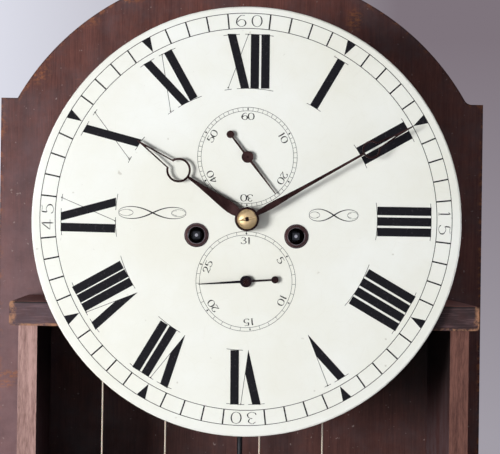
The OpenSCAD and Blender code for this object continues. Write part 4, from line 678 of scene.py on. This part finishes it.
def numeral(text, dial):
    """Strips of one Roman numeral above the centre: heads on the outer circle, feet on the inner one."""
    head, foot = dial.numeral_out, dial.numeral_in
    strokes, x = [], 0.0
    for i, letter in enumerate(text):
        if i:
            x += dial.stroke_gap * (TIGHT_GAP if text == "VIII" else 1.0)
        parts, width = letter_strokes(letter, dial, text in ("IX", "X"))
        strokes += [(kind, x + a, x + b) for kind, a, b in parts]
        x += width
    strokes = [(kind, a - x / 2, b - x / 2) for kind, a, b in strokes]
    strips, heads, feet = [], [], []
    reach = dial.stroke / 2 + dial.serif
    for kind, a, b in strokes:
        if kind == "hair":
            strips.append(ribbon([(a, head), ((a + b) / 2, (head + foot) / 2), (b, foot)], dial.hair))
            ends = [(a, head - dial.bead_in, heads), (b, foot + dial.bead_in, feet)]
            # The V's hairline ends in the wedge, without a foot of its own
            for end, height, serifs in ends[:1] if "V" in text else ends:
                serifs.append((end - dial.serif * HAIR_SERIF, end + dial.serif * HAIR_SERIF))
                strips.append(dot(end, height, dial.bead))
            continue
        heads.append((a - reach, a + reach))
        if kind == "broad":
            feet.append((b - reach, b + reach))
            middle = np.array([a, b])
            strips.append(between(middle - dial.stroke / 2, middle + dial.stroke / 2, [head, foot]))
        else:
            hair_head = next(s[1] for s in strokes if s[0] == "hair")
            strips.append(wedge(a, b, hair_head, head, foot, dial))
    for radius, spans in ((head, heads), (foot, feet)):
        for low, high in joined(spans):
            a, b = (math.degrees(math.asin(s / radius)) for s in (low, high))
            strips.append(ribbon(arc_line(radius, a, b, 12), dial.hair))
    return strips


def joined(spans):
    """Spans merged where they meet."""
    out = []
    for low, high in sorted(spans):
        if out and low <= out[-1][1]:
            out[-1] = (out[-1][0], max(high, out[-1][1]))
        else:
            out.append((low, high))
    return out


# The dial's figures

def chapter_strips(dial):
    """The hour numerals, one every 30 degrees."""
    return [turned(s, 30 * i + off) for i, (text, off) in enumerate(HOURS) for s in numeral(text, dial)]


def track_strips(dial):
    """The minute track: two circles, with a stroke, at fives a black mark, or at quarters a number."""
    low, high = dial.track_in, dial.track_out
    strips = [circle_strip(radius, dial.circle, 240) for radius in (low, high)]
    mark = between((-dial.dart, -dial.dart_tip), (dial.dart, dial.dart_tip), (high, low + dial.dart_in))
    for minute in range(60):
        shapes = [ribbon([(0, low), (0, high)], dial.tick)]
        if minute % 15 == 0:
            figures = number(str(minute or 60), dial.digit, dial, dial.digit_pitch)
            shapes = [moved(s, 0, (low + high - dial.digit) / 2) for s in figures]
        elif minute % 5 == 0:
            shapes = [mark]
        strips += [turned(s, 6 * minute) for s in shapes]
    return strips


def small_strips(dial, arbor, divisions, labels):
    """A small dial: two circles, a fine stroke at each division, and a dot and a number at each label."""
    low, high, centre = dial.small_in, dial.small_out, (arbor.x, arbor.z)
    strips = [moved(circle_strip(r, dial.small_line, 120), *centre) for r in (low, high)]
    for i in range(divisions):
        strips.append(turned(ribbon([(0, low), (0, high)], dial.small_tick), 360 / divisions * i, centre))
    foot = low - dial.small_drop - dial.small_digit
    for label in labels:
        pitch = dial.small_narrow if "1" in str(label) else dial.small_pitch
        shapes = [moved(s, 0, foot) for s in number(str(label), dial.small_digit, dial, pitch)]
        for s in [dot(0, (low + high) / 2, dial.small_dot)] + shapes:
            strips.append(turned(s, 360 / divisions * (label % divisions), centre))
    return strips


def flourish_strips(dial, across, reach):
    """A plain penman's flourish: an Euler spiral, whose heading is pi s s / 2 for s up to 2.1 each way,
    turned level and crossed by its mirror image. It swells in the middle and thins out in the scrolls."""
    s = np.linspace(-2.1, 2.1, 161)
    way = np.stack([np.cos(np.pi * s * s / 2), np.sin(np.pi * s * s / 2)], 1)
    line = np.cumsum(way, axis=0)
    line = (line - line[len(s) // 2]) @ np.array([[1, -1], [1, 1]])
    line /= np.abs(line).max(axis=0)
    width = dial.quill + dial.quill_swell * np.exp(-(s / 0.75) ** 2)
    centre = (ARBOR.x + across, ARBOR.z + dial.flourish_up)
    return [ribbon(line * (reach, side * dial.flourish_rise) + centre, width) for side in (-1, 1)]


# Gut

def gut_tube(name, line, material, lines, body):
    """A twisted cord along a line: the radius swells with the cosine of strands x (angle - turn), and the
    turn grows by a whole circle for each length of lay."""
    line = np.asarray(line, float)
    back = np.array([0.0, 1.0, 0.0])
    side = unit(np.cross(unit(np.gradient(line, axis=0)), back))
    along = np.concatenate([[0], np.cumsum(np.linalg.norm(np.diff(line, axis=0), axis=1))])
    a = np.linspace(0, 2 * np.pi, 12, endpoint=False)
    swell = np.cos(lines.strands * (a - 2 * np.pi * along[:, None] / lines.lay))
    # The radius goes from 0.86 to all of its size
    r = lines.gut_r * (0.93 + 0.07 * swell)
    out = np.cos(a)[:, None] * side[:, None] + np.sin(a)[:, None] * back
    rows, columns = r.shape
    ends = [list(range(columns)), list(range((rows - 1) * columns, rows * columns))[::-1]]
    obj = mesh_object(name, (line[:, None] + r[..., None] * out).reshape(-1, 3),
                      grid_faces(rows, columns, wrap=True) + ends, material, smooth=True)
    strand = obj.data.attributes.new("strand", "FLOAT", "POINT")
    strand.data.foreach_set("value", ((swell + 1) / 2).ravel().astype(np.float32))
    shell = bmesh.new()
    shell.from_mesh(obj.data)
    bmesh.ops.recalc_face_normals(shell, faces=shell.faces)
    shell.to_mesh(obj.data)
    shell.free()
    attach(obj, body)
    return obj


def straight(x, y, low, high, step):
    """Points straight up from low to high."""
    z = np.linspace(low, high, max(2, int((high - low) / step)))
    return np.stack([np.full_like(z, x), np.full_like(z, y), z], 1)


def gut_knot(name, place, material, lines):
    """An overhand knot drawn tight: a trefoil (sin t + 2 sin 2t, cos t - 2 cos 2t, -sin 3t), flattened onto
    the board."""
    t = np.linspace(0, 2 * np.pi, 120)
    loop = np.stack([np.sin(t) + 2 * np.sin(2 * t), np.cos(t) - 2 * np.cos(2 * t), -np.sin(3 * t)], 1)
    line = loop * lines.knot + place + (0, 0, lines.knot + lines.gut_r)
    return gut_tube(name, line, material, lines, "case")


# Operators

class CLOCK_OT_case(bpy.types.Operator):
    """Finish the boards of the case"""
    bl_idname = "clock.case"
    bl_label = "Case"

    def execute(self, context):
        s = context.scene.clock_wood
        dress(wood("smoked_pine_backboard", "Z", s, 0.5, aged=True), "backboard")
        dress(wood("stained_pine_upright", "Z", s), "trunk_front", "door", "plinth_box")
        dress(wood("stained_pine_level", "X", s), "throat_moulding", "trunk_base_moulding", "skirting")
        dress(seat_wood(s), "seatboard")
        # The right cheek's edge takes the darker colours, painted shade
        for side, dark, light in (("left", s.cheek_dark, s.cheek_light),
                                  ("right", s.stained_dark, s.stained_light)):
            node = "trunk_side_" + side
            dress(cheek_wood("sawn_pine_" + side, dark, light, s, node), node)
        return {"FINISHED"}


class CLOCK_OT_dial(bpy.types.Operator):
    """Paint the dial with its numerals, tracks and small circles"""
    bl_idname = "clock.dial"
    bl_label = "Dial"

    def execute(self, context):
        dial = context.scene.clock_dial
        dress(japanned_ground(dial), "dial")
        black = black_paint(dial)
        placed = {"dial_numerals": [moved(s, ARBOR.x, ARBOR.z) for s in chapter_strips(dial)],
                  "dial_minute_track": [moved(s, ARBOR.x, ARBOR.z) for s in track_strips(dial)],
                  "dial_seconds_circle": small_strips(dial, SECONDS_ARBOR, 60, (60, 10, 20, 30, 40, 50)),
                  "dial_date_circle": small_strips(dial, DATE_ARBOR, 31, (31, 5, 10, 15, 20, 25)),
                  "dial_flourishes": (flourish_strips(dial, -72 * MM, 26 * MM)
                                      + flourish_strips(dial, 67 * MM, 19 * MM))}
        for name, strips in placed.items():
            painted(name, strips, black, dial)
        return {"FINISHED"}


class CLOCK_OT_hands(bpy.types.Operator):
    """Finish the hands, the cap and the grommets"""
    bl_idname = "clock.hands"
    bl_label = "Hands"

    def execute(self, context):
        m = context.scene.clock_metal
        dress(metal("blued_steel_polished", m.browned, m.bronzed, 0.28, relief=0.02 * MM),
              "minute_hand", "hour_hand", "seconds_hand")
        dress(metal("blued_steel_dark", m.blued, m.browned, 0.28, relief=0.02 * MM), "date_hand")
        dress(metal("cast_brass_turned", m.cap, m.cap_worn, 0.44, share=(0.46, 0.62)), "hand_cap")
        # The grommets get a painted highlight along their edges
        dress(metal("bronzed_steel", m.bronzed, m.browned, 0.26, rim=m.steel), "grommets")
        return {"FINISHED"}


# Brass wheels and drums on steel arbors: the node, its joint, and the radius in millimetres of the steel
ON_STEEL = (("centre_arbor", "minute_turn", 3.2), ("third_arbor", "third_turn", 3.3),
            ("escape_arbor", "escape_turn", 2.6), ("pin_wheel_arbor", "pin_wheel_turn", 3.4),
            ("gathering_arbor", "gathering_turn", 2.8), ("warning_arbor", "warning_turn", 2.6),
            ("fly", "fly_turn", 2.2), ("date_wheel", "date_turn", 3.4),
            ("going_barrel", "going_winding", 4.6), ("strike_barrel", "strike_winding", 4.6))


class CLOCK_OT_movement(bpy.types.Operator):
    """Finish the plates, wheels, levers and bell"""
    bl_idname = "clock.movement"
    bl_label = "Movement"

    def execute(self, context):
        m = context.scene.clock_metal
        brass = metal("hammered_brass_aged", m.brass, m.tarnish, 0.3)
        steel = metal("filed_steel", m.steel, m.wire, 0.28)
        # Painted shade: the front plate is blackened round each winding arbor, where it lies in shade behind
        # the dial's holes
        painted_hole_shade = [(joint_place(side + "_winding"), 15 * MM, m.oil) for side in ("going", "strike")]
        dress(metal("hammered_brass_hole_shaded", m.brass, m.tarnish, 0.3, rings=painted_hole_shade, tip=m.browned), "front_plate")
        dress(brass, "back_plate", "pillars", "back_cock", "hour_bridge", "cannon_wheel",
              "hour_wheel", "reverse_wheel", "going_great_wheel", "strike_great_wheel", "date_driver")
        dress(steel, "anchor", "hammer", "rack", "rack_hook", "lifting_piece", "bell_stand",
              "seatboard_hooks")
        dress(metal("turned_bell_metal", m.bell, m.tarnish, 0.26), "bell")
        for node, joint, radius in ON_STEEL:
            place = joint_place(joint)
            rings, tip = [(place, radius * MM, m.steel)], m.browned
            # A barrel is painted dark iron round its arbor as shade in its winding hole, with steel only at
            # its middle
            if "barrel" in node:
                rings, tip = [(place, radius * MM, m.iron), (place, 1.2 * MM, m.steel)], None
            dress(metal("brass_on_steel_" + node, m.brass, m.tarnish, 0.3, rings=rings, tip=tip), node)
        return {"FINISHED"}


class CLOCK_OT_loads(bpy.types.Operator):
    """Finish the weights, pulleys, pendulum and door furniture"""
    bl_idname = "clock.loads"
    bl_label = "Weights and pendulum"

    def execute(self, context):
        m = context.scene.clock_metal
        dress(metal("lacquered_brass", m.brass, m.tarnish, 0.27), "going_pulley", "strike_pulley",
              "pendulum_bob", "rating_nut", "door_hinges", "door_leaves", "door_lock")
        dress(metal("cast_iron_blackened", m.iron, m.wire, 0.62, grain=1.6 * MM, relief=0.5 * MM),
              "going_weight", "strike_weight")
        dress(metal("drawn_iron_blackened", m.iron, m.oil, 0.6), "pendulum_rod")
        dress(metal("filed_steel_stirrup", m.steel, m.wire, 0.34), "going_stirrup", "strike_stirrup")
        return {"FINISHED"}


class CLOCK_OT_lines(bpy.types.Operator):
    """String the two gut lines"""
    bl_idname = "clock.lines"
    bl_label = "Gut lines"

    def execute(self, context):
        lines = context.scene.clock_lines
        gut = gut_material(lines)
        for side, outward in (("going", 1), ("strike", -1)):
            low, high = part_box(side + "_line")
            pulley = joint_place(side + "_pulley_turn")
            r = (high.x - low.x) / 2 - lines.gut_r
            for part, way, end in (("_gut_fall", -outward, joint_place(side + "_winding").z),
                                   ("_gut_fixed", outward, SEAT_HIGH.z + lines.end)):
                line = straight(pulley.x + way * r, pulley.y, pulley.z, end, lines.lay / 7)
                tube = gut_tube(side + part, line, gut, lines, "case")
                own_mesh(tube)
            a = np.linspace(0, np.pi, 48)
            bend = np.stack([pulley.x - r * np.cos(a), 0 * a + pulley.y, pulley.z - r * np.sin(a)], 1)
            gut_tube(side + "_gut_bend", bend, gut, lines, side + "_load")
            knot = gut_knot(side + "_gut_knot", (pulley.x + outward * r, pulley.y, SEAT_HIGH.z), gut, lines)
            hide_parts(side + "_line")
        return {"FINISHED"}


class CLOCK_OT_stage(bpy.types.Operator):
    """Set the camera, the lamps, the floor and the backdrop"""
    bl_idname = "clock.stage"
    bl_label = "Stage"

    def execute(self, context):
        scene, s = context.scene, context.scene.clock_stage
        scene.view_settings.view_transform = "Standard"
        camera = bpy.data.objects.new("camera", bpy.data.cameras.new("camera"))
        scene.collection.objects.link(camera)
        camera.data.lens, camera.data.sensor_width = s.lens, 36
        camera.data.clip_start, camera.data.clip_end = 0.05, 60
        aim = Matrix.Rotation(s.yaw, 4, "Z") @ Matrix.Rotation(math.pi / 2 + s.pitch, 4, "X")
        camera.matrix_world = Matrix.Translation(s.camera) @ aim @ Matrix.Rotation(s.roll, 4, "Z")
        scene.camera = camera
        middle = (0, 0, ARBOR.z)
        lamp("key", (-1.54, -1.84, ARBOR.z - 0.12), middle, 0.7, s.key)
        lamp("fill", (1.9, -1.9, ARBOR.z + 0.2), middle, 1.6, s.fill)
        lamp("low", (-0.8, -2.3, 0.9), (0, 0, 0.6), 1.4, s.low)
        lamp("rear", (1.7, 2.5, 1.5), (0, 0, 1.1), 1.4, s.rear)
        # Narrow lamps that look straight down, so the floor is pale and the clock gets none of it
        for name, y in (("floor_front", -4.6), ("floor_back", 4.6)):
            lamp(name, (0, y, 3.4), (0, y, 0), 7.0, s.floor_light, math.radians(50), 13.0)
        self.floor(s)
        self.world(scene, s)
        return {"FINISHED"}

    def floor(self, s):
        """A flat floor, wide enough for every view."""
        material, put, coords = new_material("pale_painted_floor", {"Roughness": 0.8})
        dust = put("TexNoise", coords, 3.0, 3.0)
        finish(material, put, put("Mix", put("MapRange", dust, 0.3, 0.7, 0.0, 0.08), s.floor, s.shade))
        half = 6.0
        corners = [(x * half, y * half, 0) for x, y in ((-1, -1), (1, -1), (1, 1), (-1, 1))]
        floor = mesh_object("floor", corners, [[0, 1, 2, 3]], material)

    def world(self, scene, s):
        """Even room light, and behind the clock a pale backdrop that falls into shade towards the right."""
        scene.world = scene.world or bpy.data.worlds.new("studio")
        scene.world.use_nodes = True
        tree = scene.world.node_tree
        tree.nodes.clear()
        put = partial(add, tree)
        x, y, z = put("SeparateXYZ", put("TexCoord", out="Generated"), out=slice(3))
        dim = put("Math", put("MapRange", x, -0.1, 0.1), put("MapRange", z, -0.1, 0.1, 0.7, 1.0))
        dim = put("Math", dim, put("MapRange", y, 0.3, 0.8))
        seen = put("Background", put("Mix", dim, s.pale, s.shade), 1.0)
        light = put("Background", (1, 1, 1, 1), s.air)
        ray = put("LightPath", out=None).outputs
        shown = put("Math", ray["Is Camera Ray"], ray["Is Transmission Ray"], operation="MAXIMUM")
        shown = put("Math", shown, ray["Is Glossy Ray"], operation="MAXIMUM")
        put("OutputWorld", put("MixShader", shown, light, seen), out=None)


def lamp(name, place, aim, size, power, spread=math.pi, wide=None):
    """A square area lamp that faces a point, or an oblong one if it is given a width."""
    light = bpy.data.lights.new(name, "AREA")
    light.shape = "RECTANGLE"
    light.energy, light.size, light.size_y, light.spread = power, wide or size, size, spread
    obj = bpy.data.objects.new(name, light)
    bpy.context.scene.collection.objects.link(obj)
    obj.visible_camera = False
    obj.location = place
    obj.rotation_euler = (Vector(aim) - Vector(place)).to_track_quat("-Z", "Y").to_euler()


STEPS = (CLOCK_OT_case, CLOCK_OT_dial, CLOCK_OT_hands, CLOCK_OT_movement, CLOCK_OT_loads, CLOCK_OT_lines,
         CLOCK_OT_stage)


class CLOCK_PT_panel(bpy.types.Panel):
    """Lists the steps and the sizes of the clock"""
    bl_label = "Longcase Clock"
    bl_idname = "CLOCK_PT_panel"
    bl_space_type = "VIEW_3D"
    bl_region_type = "UI"
    bl_category = "Clock"

    def draw(self, context):
        for step in STEPS:
            self.layout.operator(step.bl_idname)
        for name, group in GROUPS.items():
            box = self.layout.box()
            box.label(text=group.__doc__)
            for key in group.__annotations__:
                box.prop(getattr(context.scene, name), key)


add_classes, drop_classes = bpy.utils.register_classes_factory((*GROUPS.values(), *STEPS, CLOCK_PT_panel))


def register():
    """Registers the property groups, the operators and the panel."""
    add_classes()
    for name, group in GROUPS.items():
        setattr(bpy.types.Scene, name, PointerProperty(type=group))


def unregister():
    """Takes away what register added."""
    for name in GROUPS:
        delattr(bpy.types.Scene, name)
    drop_classes()


def main():
    register()
    for step in STEPS:
        group, name = step.bl_idname.split(".")
        if getattr(getattr(bpy.ops, group), name)() != {"FINISHED"}:
            raise RuntimeError(f"{step.bl_idname} did not finish")


if __name__ == "__main__":
    main()
